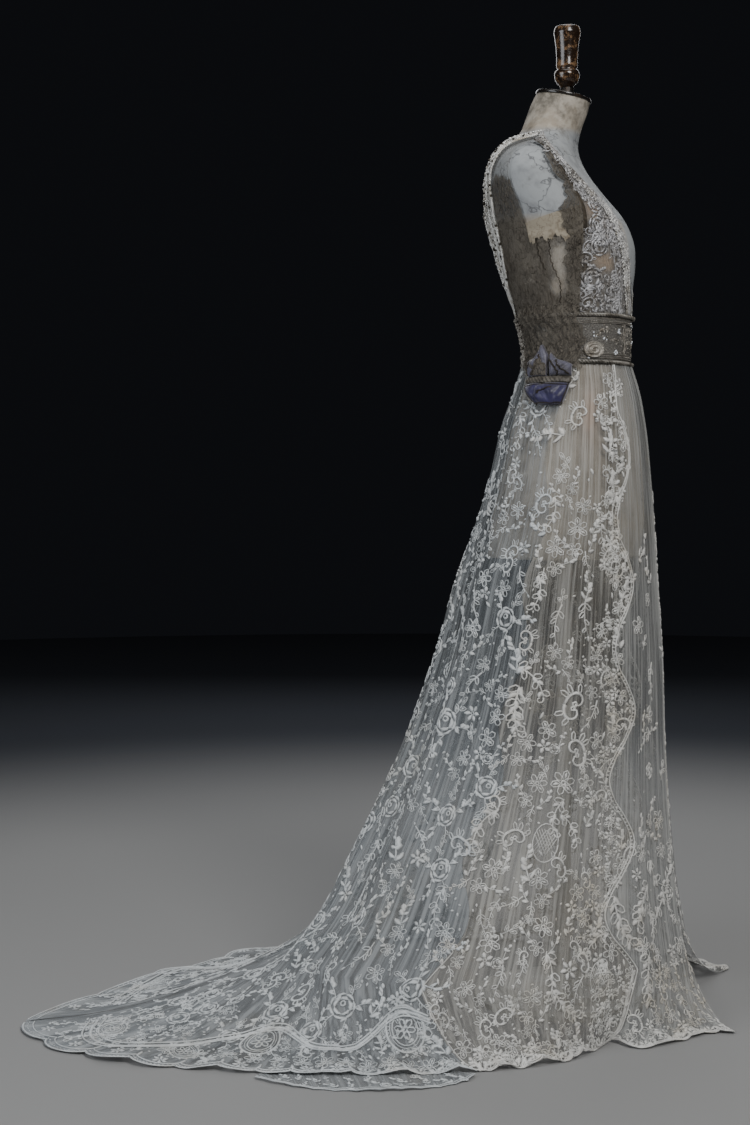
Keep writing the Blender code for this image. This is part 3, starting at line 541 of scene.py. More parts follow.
def between(table, x, y):
    # values of a table over the unit square, mixed from the four nearest
    rows, columns = table.shape[0] - 1, table.shape[1] - 1
    x, y = np.clip(x, 0, 1) * rows, np.clip(y, 0, 1) * columns
    i, j = np.minimum(x.astype(int), rows - 1), np.minimum(y.astype(int), columns - 1)
    x, y = x - i, y - j
    return ((table[i, j] * (1 - y) + table[i, j + 1] * y) * (1 - x)
        + (table[i + 1, j] * (1 - y) + table[i + 1, j + 1] * y) * x)


def fallOf(side):
    # lengths down the skirt for each place round it, and the reverse: v for each share of the length
    s, v = np.linspace(0, 1, 121), np.linspace(0, 2, 321)
    line = skirtSkin(side, False)(s[:, None], v[None, :])
    reach = np.cumsum(np.linalg.norm(np.diff(line, axis=1), axis=-1), axis=1)
    reach = np.concatenate([np.zeros((len(s), 1)), reach], axis=1)
    shares = np.linspace(0, 1, 321)
    reverse = np.stack([np.interp(shares * row[-1], row, v) for row in reach])
    whole = np.repeat(reach[:, -1:], 2, axis=1)

    def move(a, b, metres):
        full = between(whole, a, 0 * a)
        return between(reverse, a, (between(reach, a, b / 2) + metres) / full)
    return move


def layMotifs(smooth, cloth, turn, spots, lift, riseCap=0.0011, move=None):
    # copies of flat motifs laid on a cloth: a step across and up the cloth is turned into a step in
    # the cloth's own two parameters by its local slopes, and the cloth gives the point; move turns
    # metres down the cloth into its second parameter where the slope changes much
    parts = []
    for kind in sorted({spot[0] for spot in spots}):
        shape, quads, tris = motifMeshes[kind]
        rows = np.array([spot[1:] for spot in spots if spot[0] == kind])
        a, b, heading, size = rows[:, 0], rows[:, 1], rows[:, 2], rows[:, 3]
        step = 1e-4
        alongA = (smooth(a + step, b) - smooth(a - step, b)) / (2 * step)
        alongB = (smooth(a, b + step) - smooth(a, b - step)) / (2 * step)
        out = unit(np.cross(alongA, alongB) * turn)
        up = unit(-alongB)
        side = np.cross(up, out)
        cosine, sine = np.cos(heading)[:, None], np.sin(heading)[:, None]
        x = (shape[None, :, 0] * cosine - shape[None, :, 1] * sine) * size[:, None]
        y = (shape[None, :, 0] * sine + shape[None, :, 1] * cosine) * size[:, None]
        target = x[..., None] * side[:, None] + y[..., None] * up[:, None]
        gaa, gab, gbb = (np.sum(p * q, axis=-1)[:, None] for p, q in
            ((alongA, alongA), (alongA, alongB), (alongB, alongB)))
        ra = np.sum(target * alongA[:, None], axis=-1)
        rb = np.sum(target * alongB[:, None], axis=-1)
        det = gaa * gbb - gab**2
        da, db = (ra * gbb - rb * gab) / det, (rb * gaa - ra * gab) / det
        high = np.minimum(shape[None, :, 2] * size[:, None], riseCap) + lift
        if move is None:
            down = b[:, None] + db
        else:
            down = move(a[:, None] + 0 * db, b[:, None] + 0 * db, db * np.linalg.norm(alongB, axis=-1)[:, None])
        points = cloth(a[:, None] + da, down, high)
        starts = (np.arange(len(rows)) * len(shape))[:, None, None]
        parts.append((points.reshape(-1, 3), (quads + starts).reshape(-1, 4), (tris + starts).reshape(-1, 3)))
    return joinParts(parts)


def cordOn(cloth, a, b, width, rise, lift=0.0004):
    # a raised cord along a line on the cloth: its edges lie on the cloth, its spine stands off
    middle = cloth(a, b, lift)
    top = cloth(a, b, lift + rise)
    out = unit(top - middle)
    run = unit(np.gradient(middle, axis=0))
    across = unit(np.cross(out, run)) * np.broadcast_to(width, len(middle))[:, None] / 2
    points = np.stack([middle + across, top, middle - across], axis=1).reshape(-1, 3)
    points[:, 2] = np.maximum(points[:, 2], 0.0004)
    quads, tris = strokeFaces(len(middle))
    return points, quads, tris


def along(start, end, step, wander):
    # the two parameters of a line from start to end that wanders in the first one
    return start[0] + (end[0] - start[0]) * step + wander, start[1] + (end[1] - start[1]) * step


# shared effects, each a node group built once
def makeGroup(name, numbers, outputs):
    group = bpy.data.node_groups.new(name, "ShaderNodeTree")
    group.interface.new_socket("Vector", in_out="INPUT", socket_type="NodeSocketVector")
    for label, value in numbers.items():
        group.interface.new_socket(label, in_out="INPUT", socket_type="NodeSocketFloat").default_value = value
    for label in outputs:
        group.interface.new_socket(label, in_out="OUTPUT", socket_type="NodeSocketFloat")
    return group, group.nodes.new("NodeGroupInput"), group.nodes.new("NodeGroupOutput")


def feed(tree, socket, value):
    # a number or colour goes on the socket itself, an output is linked to it
    if isinstance(value, tuple):
        socket.default_value = (*value, 1.0)
    elif isinstance(value, (int, float)):
        socket.default_value = value
    else:
        tree.links.new(value, socket)


def mathNode(tree, operation, a, b, clamp=False):
    node = tree.nodes.new("ShaderNodeMath")
    node.operation = operation
    node.use_clamp = clamp
    for socket, value in zip(node.inputs, (a, b)):
        feed(tree, socket, value)
    return node.outputs[0]


def times(tree, a, b):
    return mathNode(tree, "MULTIPLY", a, b)


def rangeNode(tree, value, low, high, outLow=0.0, outHigh=1.0):
    node = tree.nodes.new("ShaderNodeMapRange")
    node.interpolation_type = "SMOOTHSTEP"
    for label, number in (("Value", value), ("From Min", low), ("From Max", high), ("To Min", outLow),
            ("To Max", outHigh)):
        feed(tree, node.inputs[label], number)
    return node.outputs["Result"]


def noiseNode(tree, vector, scale, detail=3.0, roughness=0.55, distortion=0.0):
    node = tree.nodes.new("ShaderNodeTexNoise")
    for label, value in (("Vector", vector), ("Scale", scale), ("Detail", detail), ("Roughness", roughness),
            ("Distortion", distortion)):
        feed(tree, node.inputs[label], value)
    return node.outputs["Fac"]


def streakGroup():
    # noise squeezed across the cloth and drawn out along it: threads pulled by the pleats
    group, start, end = makeGroup("threadStreaks", {"Across": 160.0, "Along": 4.0}, ("Streak", "Height"))
    parts = group.nodes.new("ShaderNodeSeparateXYZ")
    group.links.new(start.outputs["Vector"], parts.inputs[0])
    joined = group.nodes.new("ShaderNodeCombineXYZ")
    group.links.new(times(group, parts.outputs["X"], start.outputs["Across"]), joined.inputs["X"])
    group.links.new(times(group, parts.outputs["Y"], start.outputs["Along"]), joined.inputs["Y"])
    streak = noiseNode(group, joined.outputs[0], 1.0, 3.0, 0.62, 0.25)
    group.links.new(rangeNode(group, streak, 0.36, 0.66), end.inputs["Streak"])
    group.links.new(streak, end.inputs["Height"])
    return group


def meshGroup():
    # six-sided net: distance to the borders of evenly spread cells
    group, start, end = makeGroup("netMesh", {"Cells": 600.0, "Thread": 0.12}, ("Mask", "Height"))
    cells = group.nodes.new("ShaderNodeTexVoronoi")
    cells.feature = "DISTANCE_TO_EDGE"
    cells.inputs["Randomness"].default_value = 0.35
    group.links.new(start.outputs["Vector"], cells.inputs["Vector"])
    group.links.new(start.outputs["Cells"], cells.inputs["Scale"])
    thread = rangeNode(group, cells.outputs["Distance"], start.outputs["Thread"], 0.0)
    group.links.new(thread, end.inputs["Mask"])
    group.links.new(thread, end.inputs["Height"])
    return group


def ageGroup():
    # patches of age: two sizes of noise multiplied, then cut between Low and High
    group, start, end = makeGroup("ageing", {"Scale": 9.0, "Low": 0.42, "High": 0.62}, ("Mask",))
    broad = noiseNode(group, start.outputs["Vector"], start.outputs["Scale"], 4.0, 0.6, 0.6)
    fine = noiseNode(group, start.outputs["Vector"], times(group, start.outputs["Scale"], 7.0), 3.0)
    both = mathNode(group, "ADD", times(group, broad, 0.72), times(group, fine, 0.28))
    group.links.new(rangeNode(group, both, start.outputs["Low"], start.outputs["High"]), end.inputs["Mask"])
    return group


def crackGroup():
    # thin broken lines: borders of stretched cells, bent by noise
    group, start, end = makeGroup("crackle", {"Scale": 40.0, "Width": 0.03}, ("Line",))
    bend = group.nodes.new("ShaderNodeTexNoise")
    bend.inputs["Scale"].default_value = 60.0
    group.links.new(start.outputs["Vector"], bend.inputs["Vector"])
    shift = group.nodes.new("ShaderNodeVectorMath")
    shift.operation = "MULTIPLY_ADD"
    group.links.new(bend.outputs["Color"], shift.inputs[0])
    shift.inputs[1].default_value = (0.035, 0.035, 0.035)
    group.links.new(start.outputs["Vector"], shift.inputs[2])
    cells = group.nodes.new("ShaderNodeTexVoronoi")
    cells.feature = "DISTANCE_TO_EDGE"
    group.links.new(shift.outputs[0], cells.inputs["Vector"])
    group.links.new(start.outputs["Scale"], cells.inputs["Scale"])
    group.links.new(rangeNode(group, cells.outputs["Distance"], start.outputs["Width"], 0.0), end.inputs["Line"])
    return group


effects = {"streaks": streakGroup(), "mesh": meshGroup(), "age": ageGroup(), "crackle": crackGroup()}


def useGroup(tree, key, vector, **values):
    node = tree.nodes.new("ShaderNodeGroup")
    node.node_tree = effects[key]
    tree.links.new(vector, node.inputs["Vector"])
    for label, value in values.items():
        node.inputs[label].default_value = value
    return node


def ageMask(tree, spot, look, scale):
    return useGroup(tree, "age", spot, Scale=scale, Low=look["age"][0], High=look["age"][1]).outputs["Mask"]


def mixColour(tree, factor, a, b, blend="MIX"):
    node = tree.nodes.new("ShaderNodeMix")
    node.data_type = "RGBA"
    node.blend_type = blend
    for socket, value in ((node.inputs["Factor"], factor), (node.inputs[6], a), (node.inputs[7], b)):
        feed(tree, socket, value)
    return node.outputs[2]


def startMaterial(name, look):
    material = bpy.data.materials.new(name)
    material.use_nodes = True
    tree = material.node_tree
    shader = tree.nodes["Principled BSDF"]
    for label, value in (("Roughness", look["roughness"]), ("Metallic", look.get("metallic", 0.0)),
            ("Sheen Weight", look.get("sheen", 0.0)), ("Sheen Roughness", 0.45),
            ("Coat Weight", look.get("coat", 0.0)), ("Coat Roughness", 0.15),
            ("Specular IOR Level", look.get("specular", 0.4))):
        shader.inputs[label].default_value = value
    place = tree.nodes.new("ShaderNodeTexCoord")
    return material, tree, shader, place


def heldIn(tree, name):
    # a mask that the mesh holds, point by point
    node = tree.nodes.new("ShaderNodeAttribute")
    node.attribute_name = name
    return node.outputs["Fac"]


def bumpInto(tree, shader, height, strength, distance):
    bump = tree.nodes.new("ShaderNodeBump")
    bump.inputs["Strength"].default_value = strength
    bump.inputs["Distance"].default_value = distance
    tree.links.new(height, bump.inputs["Height"])
    tree.links.new(bump.outputs["Normal"], shader.inputs["Normal"])


def netMaterial(name, look):
    # see-through net: its alpha follows the pulled threads, the mesh of the net and, where asked,
    # a mask held in the mesh; its colour shifts with age
    material, tree, shader, place = startMaterial(name, look)
    uv, spot = place.outputs["UV"], place.outputs["Object"]
    streak = useGroup(tree, "streaks", uv, Across=look["across"], Along=look["along"])
    weave = useGroup(tree, "mesh", uv, Cells=look["cells"], Thread=0.16)
    colour = mixColour(tree, ageMask(tree, spot, look, look["ageScale"]), look["colour"], look["aged"])
    colour = mixColour(tree, streak.outputs["Streak"], colour, look["bright"])
    low, high = look["alpha"]
    alpha = rangeNode(tree, streak.outputs["Streak"], 0.0, 1.0, low, high)
    alpha = mathNode(tree, "ADD", alpha, times(tree, weave.outputs["Mask"], look["thread"]), True)
    # the field added here holds the net's real closeness and, on the skirt, painted fold light and shade along the
    # pleats
    if "addedAlpha" in look:
        alpha = mathNode(tree, "ADD", alpha, times(tree, heldIn(tree, "addedAlpha"), look["addedAlpha"]), True)
    if "pale" in look:
        broken = useGroup(tree, "age", spot, Scale=34.0, Low=0.4, High=0.6)
        share = times(tree, heldIn(tree, "pale"), rangeNode(tree, broken.outputs["Mask"], 0.0, 1.0, 0.75, 1.0))
        colour = mixColour(tree, share, colour, look["pale"])
        alpha = times(tree, alpha, rangeNode(tree, share, 0.0, 1.0, 1.0, look["paleAlpha"]))
    # darker brown towards the bodice's front seam, broken by noise: grime together with painted shade along the seam
    if "grimeAndSeamShade" in look:
        rough = useGroup(tree, "age", spot, Scale=30.0, Low=0.36, High=0.62)
        share = times(tree, heldIn(tree, "grimeAndSeamShade"), rangeNode(tree, rough.outputs["Mask"], 0.0, 1.0, 0.55, 1.0))
        colour = mixColour(tree, share, colour, look["grimeAndSeamShade"])
    if "holes" in look:
        torn = useGroup(tree, "age", spot, Scale=look["holes"][0], Low=look["holes"][1], High=look["holes"][2])
        alpha = times(tree, alpha, torn.outputs["Mask"])
    if "cracks" in look:
        lines = useGroup(tree, "crackle", spot, Scale=look["cracks"][0], Width=look["cracks"][1])
        colour = mixColour(tree, lines.outputs["Line"], colour, look["crackColour"])
    tree.links.new(colour, shader.inputs["Base Color"])
    tree.links.new(alpha, shader.inputs["Alpha"])
    height = mathNode(tree, "ADD", streak.outputs["Height"], times(tree, weave.outputs["Height"], 0.35))
    bumpInto(tree, shader, height, look.get("bump", 0.5), 0.0012)
    return material


def threadMaterial(name, look):
    # worked thread: fine wound threads in the bump, shade shifting from motif to motif
    material, tree, shader, place = startMaterial(name, look)
    spot = place.outputs["Object"]
    fine = noiseNode(tree, spot, 900.0, 2.0)
    patch = noiseNode(tree, spot, 38.0, 2.0)
    colour = mixColour(tree, ageMask(tree, spot, look, look["ageScale"]), look["colour"], look["aged"])
    shade = rangeNode(tree, patch, 0.35, 0.65, 0.8, 1.0)
    grey = tree.nodes.new("ShaderNodeCombineColor")
    for channel in ("Red", "Green", "Blue"):
        tree.links.new(shade, grey.inputs[channel])
    colour = mixColour(tree, 1.0, colour, grey.outputs[0], "MULTIPLY")
    tree.links.new(colour, shader.inputs["Base Color"])
    tree.links.new(rangeNode(tree, fine, 0.2, 0.8, look["roughness"] - 0.12, look["roughness"] + 0.08),
        shader.inputs["Roughness"])
    bumpInto(tree, shader, fine, 0.55, 0.0006)
    return material


def marbledMaterial(name, look):
    # aged cloth or lacquer: two colours in clouds, darker fine lines, worn spots
    material, tree, shader, place = startMaterial(name, look)
    spot = place.outputs["Object"]
    cloud = ageMask(tree, spot, look, look["scale"])
    lines = useGroup(tree, "crackle", spot, Scale=look["lines"][0], Width=look["lines"][1])
    fine = noiseNode(tree, spot, look.get("grain", 500.0), 3.0)
    colour = mixColour(tree, cloud, look["colour"], look["aged"])
    colour = mixColour(tree, times(tree, lines.outputs["Line"], look["lineShare"]), colour, look["lineColour"])
    if "zone" in look:
        zone = heldIn(tree, "zone")
        colour = mixColour(tree, zone, colour, mixColour(tree, cloud, look["zone"], look["zoneAged"]))
        veins = useGroup(tree, "crackle", spot, Scale=12.0, Width=0.019)
        vein = times(tree, times(tree, veins.outputs["Line"], zone), 0.75)
        colour = mixColour(tree, vein, colour, look["vein"])
    if "stain" in look:
        colour = stained(tree, spot, colour, look["stain"])
    tree.links.new(colour, shader.inputs["Base Color"])
    tree.links.new(rangeNode(tree, fine, 0.2, 0.8, max(look["roughness"] - 0.1, 0.05), look["roughness"] + 0.1),
        shader.inputs["Roughness"])
    bumpInto(tree, shader, mathNode(tree, "SUBTRACT", fine, lines.outputs["Line"]), look.get("bump", 0.3), 0.0005)
    return material


def stained(tree, spot, colour, stain):
    # spots that gather above a height: noise cut by how far up the point is
    parts = tree.nodes.new("ShaderNodeSeparateXYZ")
    tree.links.new(spot, parts.inputs[0])
    high = rangeNode(tree, parts.outputs["Z"], stain["from"], stain["to"])
    noise = noiseNode(tree, spot, stain["scale"], 4.0, 0.7)
    mask = rangeNode(tree, mathNode(tree, "ADD", noise, times(tree, high, 0.26)), 0.56, 0.92)
    return mixColour(tree, times(tree, mask, 0.9), colour, stain["colour"])


plainNet = dict(along=4.0, cells=620.0, thread=0.08, addedAlpha=1.0, roughness=0.75, sheen=0.2)
looks = {
    "net": dict(plainNet, colour=(0.33, 0.34, 0.335), aged=(0.35, 0.33, 0.28), bright=(0.52, 0.525, 0.51),
        ageScale=7.0, age=(0.5, 0.68), across=190.0, alpha=(0.2, 0.46)),
    "lace": dict(plainNet, colour=(0.33, 0.32, 0.295), aged=(0.36, 0.32, 0.265), bright=(0.52, 0.51, 0.475),
        ageScale=7.0, age=(0.46, 0.66), across=180.0, alpha=(0.13, 0.4), pale=(0.4, 0.315, 0.255), paleAlpha=1.9),
    "trainNet": dict(plainNet, colour=(0.215, 0.24, 0.26), aged=(0.26, 0.265, 0.255), bright=(0.41, 0.435, 0.45),
        ageScale=6.0, age=(0.5, 0.7), across=150.0, alpha=(0.26, 0.5)),
    "silverNet": dict(colour=(0.225, 0.215, 0.205), aged=(0.115, 0.102, 0.09), bright=(0.38, 0.375, 0.37),
        ageScale=24.0, age=(0.44, 0.62), across=420.0, along=60.0, cells=620.0, alpha=(0.45, 0.88), thread=0.12,
        roughness=0.55, metallic=0.15, pale=(0.5, 0.385, 0.29), paleAlpha=0.8, grimeAndSeamShade=(0.08, 0.066, 0.05)),
    "tarnished": dict(colour=(0.088, 0.076, 0.061), aged=(0.225, 0.203, 0.168), bright=(0.145, 0.128, 0.104),
        ageScale=17.0, age=(0.44, 0.6), across=300.0, along=70.0, cells=620.0, alpha=(0.55, 0.92),
        thread=0.15, roughness=0.72, metallic=0.1, holes=(44.0, 0.32, 0.41), cracks=(60.0, 0.05),
        crackColour=(0.022, 0.016, 0.011), bump=0.9, pale=(0.36, 0.35, 0.33), paleAlpha=0.3),
    "whiteNet": dict(colour=(0.58, 0.56, 0.51), aged=(0.26, 0.21, 0.155), bright=(0.74, 0.73, 0.69), ageScale=22.0,
        age=(0.48, 0.62), across=240.0, along=24.0, cells=620.0, alpha=(0.55, 0.95), thread=0.1,
        roughness=0.75, sheen=0.2),
    "bandNet": dict(colour=(0.13, 0.12, 0.105), aged=(0.055, 0.048, 0.04), bright=(0.28, 0.27, 0.25), ageScale=30.0,
        age=(0.42, 0.62), across=600.0, along=420.0, cells=520.0, alpha=(0.98, 1.0), thread=0.1,
        roughness=0.5, metallic=0.2, bump=0.9),
}
threadLooks = {
    "motif": dict(colour=(0.8, 0.795, 0.765), aged=(0.7, 0.655, 0.565), ageScale=7.0, age=(0.48, 0.68),
        roughness=0.72, sheen=0.2),
    "trainMotif": dict(colour=(0.72, 0.755, 0.77), aged=(0.68, 0.68, 0.65), ageScale=6.0, age=(0.5, 0.72),
        roughness=0.72, sheen=0.2),
    "silverMotif": dict(colour=(0.66, 0.66, 0.675), aged=(0.29, 0.27, 0.25), ageScale=30.0, age=(0.44, 0.62),
        roughness=0.42, metallic=0.3),
    "pearl": dict(colour=(0.88, 0.875, 0.84), aged=(0.48, 0.44, 0.37), ageScale=34.0, age=(0.46, 0.62), roughness=0.3,
        metallic=0.15, coat=0.4),
    "duskBraid": dict(colour=(0.155, 0.14, 0.12), aged=(0.06, 0.052, 0.042), ageScale=60.0, age=(0.42, 0.6),
        roughness=0.55, metallic=0.1),
    "rope": dict(colour=(0.46, 0.435, 0.39), aged=(0.13, 0.115, 0.095), ageScale=44.0, age=(0.42, 0.6),
        roughness=0.45, metallic=0.2),
    "bandMotif": dict(colour=(0.48, 0.45, 0.4), aged=(0.17, 0.145, 0.115), ageScale=34.0, age=(0.42, 0.6),
        roughness=0.4, metallic=0.3),
    "darkTrim": dict(colour=(0.035, 0.027, 0.018), aged=(0.085, 0.068, 0.045), ageScale=40.0, age=(0.48, 0.62),
        roughness=0.75, metallic=0.1),
}
marbledLooks = {
    "linen": dict(colour=(0.5, 0.455, 0.385), aged=(0.35, 0.3, 0.235), scale=11.0, age=(0.46, 0.66),
        lines=(30.0, 0.012), lineColour=(0.22, 0.16, 0.1), lineShare=0.3, roughness=0.78, grain=700.0,
        zone=(0.4, 0.42, 0.43), zoneAged=(0.27, 0.28, 0.29), vein=(0.075, 0.075, 0.08),
        stain={"from": 1.4, "to": 1.5, "scale": 34.0, "colour": (0.115, 0.102, 0.08)}),
    "crescent": dict(colour=(0.37, 0.325, 0.25), aged=(0.215, 0.18, 0.13), scale=30.0, age=(0.46, 0.62),
        lines=(60.0, 0.03), lineColour=(0.1, 0.065, 0.04), lineShare=0.5, roughness=0.75, bump=0.5),
    "satin": dict(colour=(0.039, 0.035, 0.105), aged=(0.019, 0.017, 0.05), scale=30.0, age=(0.42, 0.66),
        lines=(70.0, 0.015),
        lineColour=(0.01, 0.008, 0.025), lineShare=0.5, roughness=0.4, sheen=0.4, grain=900.0, bump=0.25),
    "paleSatin": dict(colour=(0.115, 0.112, 0.155), aged=(0.055, 0.05, 0.056), scale=34.0, age=(0.42, 0.62),
        lines=(60.0, 0.03),
        lineColour=(0.02, 0.016, 0.02), lineShare=0.75, roughness=0.42, sheen=0.4, grain=900.0, bump=0.25),
    "lacquer": dict(colour=(0.012, 0.01, 0.009), aged=(0.035, 0.022, 0.014), scale=40.0, age=(0.5, 0.66),
        lines=(70.0, 0.01),
        lineColour=(0.1, 0.07, 0.05), lineShare=0.3, roughness=0.22, coat=0.5, grain=300.0, bump=0.1),
    "tortoise": dict(colour=(0.02, 0.012, 0.008), aged=(0.23, 0.135, 0.07), scale=62.0, age=(0.5, 0.6),
        lines=(90.0, 0.02),
        lineColour=(0.01, 0.006, 0.004), lineShare=0.5, roughness=0.2, coat=0.7, grain=300.0, bump=0.1),
    "paleIron": dict(colour=(0.46, 0.45, 0.42), aged=(0.34, 0.32, 0.28), scale=30.0, age=(0.5, 0.68),
        lines=(60.0, 0.01), lineColour=(0.14, 0.11, 0.08), lineShare=0.4, roughness=0.45, metallic=0.0, grain=400.0),
    "iron": dict(colour=(0.035, 0.032, 0.03), aged=(0.075, 0.055, 0.04), scale=30.0, age=(0.5, 0.68),
        lines=(60.0, 0.01),
        lineColour=(0.02, 0.015, 0.012), lineShare=0.3, roughness=0.42, metallic=0.85, grain=400.0),
}
materials = {key: netMaterial(key, look) for key, look in looks.items()}
materials |= {key: threadMaterial(key, look) for key, look in threadLooks.items()}
materials |= {key: marbledMaterial(key, look) for key, look in marbledLooks.items()}
materials["crystal"] = startMaterial("crystal", dict(roughness=0.06, coat=0.6, specular=0.9))[0]
crystalShader = materials["crystal"].node_tree.nodes["Principled BSDF"]
crystalShader.inputs["Base Color"].default_value = (0.82, 0.86, 0.9, 1.0)
print("materials made")


def settle(piece, slot, *nodes):
    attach(piece, "root")
    if nodes:
        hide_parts(*nodes)
    return piece


def layCloth(key, grid, flip, look, slot, nodes=(), ending="_cloth", **more):
    # a shell over a grid of points, in its material
    settle(sheetMesh(key + ending, grid, flip, materials[look], **more), slot, *nodes)


def hangWork(name, parts, look, slot, *nodes):
    # needlework, cords or beads as one piece
    return settle(buildMesh(name, *joinParts(parts), materials[look]), slot, *nodes)


# dress form: the torso with a smooth skin, closed at its neck and its base
def makeTorso():
    rows, columns = 116, 72
    angles = np.linspace(0, fullTurn, columns, endpoint=False)
    heights = np.linspace(formTable[0, 0], formTable[-1, 0], rows)
    skin = formSkin(leftSide)
    rings = skin(angles[None, :] + 0 * heights[:, None], heights[:, None] + 0 * angles[None, :])
    low, high = rings[:1].mean(axis=1, keepdims=True), rings[-1:].mean(axis=1, keepdims=True)
    shares = np.linspace(0, 1, 5)[:, None, None]
    floorRings = low + (rings[:1] - low) * np.maximum(shares[:-1], 0.002)
    topRings = rings[-1:] + (high - rings[-1:]) * np.minimum(shares[1:], 0.998)
    grid = np.concatenate([floorRings, rings, topRings])
    height = grid[..., 2]
    chest = ramp(grid[..., 0], 0.02, 0.05) * (1 - ramp(np.abs(grid[..., 1]), 0.045, 0.07)) * ramp(height, 1.15, 1.18)
    white = np.maximum(ramp(height, 1.284, 1.296), chest) * (1 - ramp(height, 1.436, 1.448))
    return buildMesh("form_torso_skin", grid, gridQuads(*grid.shape[:2], False, True), material=materials["linen"],
        fields={"zone": white})


settle(makeTorso(), "linen", "form_torso")


def turnedMesh(name, profile, place, tip, material, steps=44):
    # a profile of radius and height, its corners eased, turned about an axis tipped forward
    profile = np.array(profile)
    reach = np.concatenate([[0], np.cumsum(np.hypot(*np.diff(profile, axis=0).T))])
    fine = np.linspace(0, reach[-1], 90)
    radius = np.maximum(np.interp(fine, reach, profile[:, 0]), 0.0001)
    height = np.interp(fine, reach, profile[:, 1])
    turn = np.linspace(0, fullTurn, steps, endpoint=False)
    x, y = radius[:, None] * np.cos(turn), radius[:, None] * np.sin(turn)
    z = height[:, None] + 0 * x
    points = np.stack([x * math.cos(tip) + z * math.sin(tip), y, z * math.cos(tip) - x * math.sin(tip)], axis=-1)
    return buildMesh(name, points + np.array(place), gridQuads(len(fine), steps, True, True), material=material)


cap = {"radius": 0.0462, "thick": 0.0055, "tip": math.radians(10.7), "centre": (-0.006, 0.0, 1.503)}
half = cap["thick"] / 2
capProfile = [(0, half), (cap["radius"] - 0.0014, half), (cap["radius"] - 0.0004, half - 0.0004),
    (cap["radius"], half - 0.0014), (cap["radius"], 0.0014 - half),
    (cap["radius"] - 0.0004, 0.0004 - half), (cap["radius"] - 0.0014, -half), (0, -half)]
finial = {"place": (-0.0005, 0.0, 1.5178), "profile": [
    (0.0, 0.1002), (0.016, 0.1002), (0.0192, 0.099), (0.0208, 0.096), (0.0222, 0.089), (0.0205, 0.08),
    (0.0185, 0.065), (0.0174, 0.048), (0.0176, 0.035), (0.0172, 0.033), (0.0158, 0.031), (0.0158, 0.0295),
    (0.0182, 0.0278), (0.0196, 0.026), (0.0208, 0.0225), (0.0208, 0.0195), (0.0195, 0.013), (0.017, 0.008),
    (0.014, 0.005), (0.01, 0.0), (0.0, 0.0)]}
settle(turnedMesh("form_cap_disc", capProfile, cap["centre"], cap["tip"], materials["lacquer"]), "lacquer",
    "form_cap")
settle(turnedMesh("form_finial_turned", finial["profile"], finial["place"], 0.0, materials["tortoise"]),
    "tortoiseshell", "form_finial")
for node, key, slotName in (("form_collar", "iron", "iron"), ("stand_pole", "paleIron", "iron"),
        ("stand_base", "paleIron", "iron")):
    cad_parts[node].data.materials.clear()
    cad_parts[node].data.materials.append(materials[key])
print("dress form done")


# skirt panels: net shells over the skirt's surface
def scallopEnd(s):
    # the hem's place down the skirt: cut in lobes, deeper at the middle of the side panel
    deep = 0.04 + 0.05 * np.exp(-((s - 0.42) / 0.13) ** 2)
    return 2.0 - deep * (1 - np.abs(np.sin(math.pi * 31 * s)) ** 0.6)


def closeness(name, s, v):
    # the nets look closer where they lie double: down the front panel, low on the skirt and at hems
    front = {"skirt_front": 0.12, "skirt_side": 0.02}.get(name, 0.0)
    tip = 0.22 * ramp(s, 0.84, 0.97) * ramp(v, 1.25, 1.6)
    hip = 0.17 * (1 - ramp(v, 0.26, 0.44)) if name == "skirt_side" else 0.0
    return front + hip + tip + 0.1 * ramp(v, 0.45, 0.95) + 0.3 * ramp(v, 1.91, 1.97)


def peachPatch(s, v):
    # warm stain on the side panel below the waistband
    return np.exp(-((s - 0.4) / 0.045) ** 2 - ((v - 0.085) / 0.05) ** 2)


panelRows = np.concatenate([np.linspace(0, 1, 89), np.linspace(1, 2, 65)[1:]])
backRows = np.append(panelRows[panelRows < borderStart - 0.004], borderStart)
borderRows = np.linspace(borderStart, 2.0, 44)


def skirtPanel(name, mark, side, rows, startOf, endOf, columns, key, slotName, hemmed):
    # the share of the way between the panel's edges is taken at each point's own height
    share = np.linspace(0, 1, columns + 1)[None, :]
    v = rows[:, None] + 0 * share
    s = startOf(v) + (endOf(v) - startOf(v)) * share
    if hemmed:
        v = rows[0] + (v - rows[0]) * (scallopEnd(s) - rows[0]) / (2.0 - rows[0])
        s = startOf(v) + (endOf(v) - startOf(v)) * share
    grid = skirtCloth(side)(s, v)
    wave, uneven = pleatWave(side, s, v)
    foldLightAndShade = 0.17 * wave * uneven * (0.35 + 0.65 * ramp(v, 0.2, 0.7))  # painted fold light and shade: the net is made more opaque on each fold's crest and thinner in its troughs
    layCloth(f"{name}_{mark}", grid, side == leftSide, key, slotName, [f"{name}_{mark}"],
        fields={"addedAlpha": closeness(name, s, v) + foldLightAndShade, "pale": peachPatch(s, v)},
        uv=np.stack([s * fallUv[0], v * fallUv[1]], axis=-1))


fallUv = (0.8, 1.05)  # threads follow the fall of the cloth: metres for the whole s and for each v
panels = (("skirt_front", panelRows, level(0.0005), near(-0.0004), 52, "net", "net", True),
    ("skirt_side", panelRows, near(0.0004), far(-0.0004), 66, "lace", "lace", True),
    ("skirt_back", backRows, far(0.0004), level(0.9995), 80, "trainNet", "net", False),
    ("train_border", borderRows, far(0.0004), level(0.9995), 132, "trainNet", "train_lace", True))
for mark, side in sides:
    for name, *rest in panels:
        skirtPanel(name, mark, side, *rest)
print("skirt panels done")


# bodice panels over the form
def edgeLine(table, t):
    return np.radians(np.minimum(readSmooth(t, table), 180.0)), readSmooth(t, table, 2)


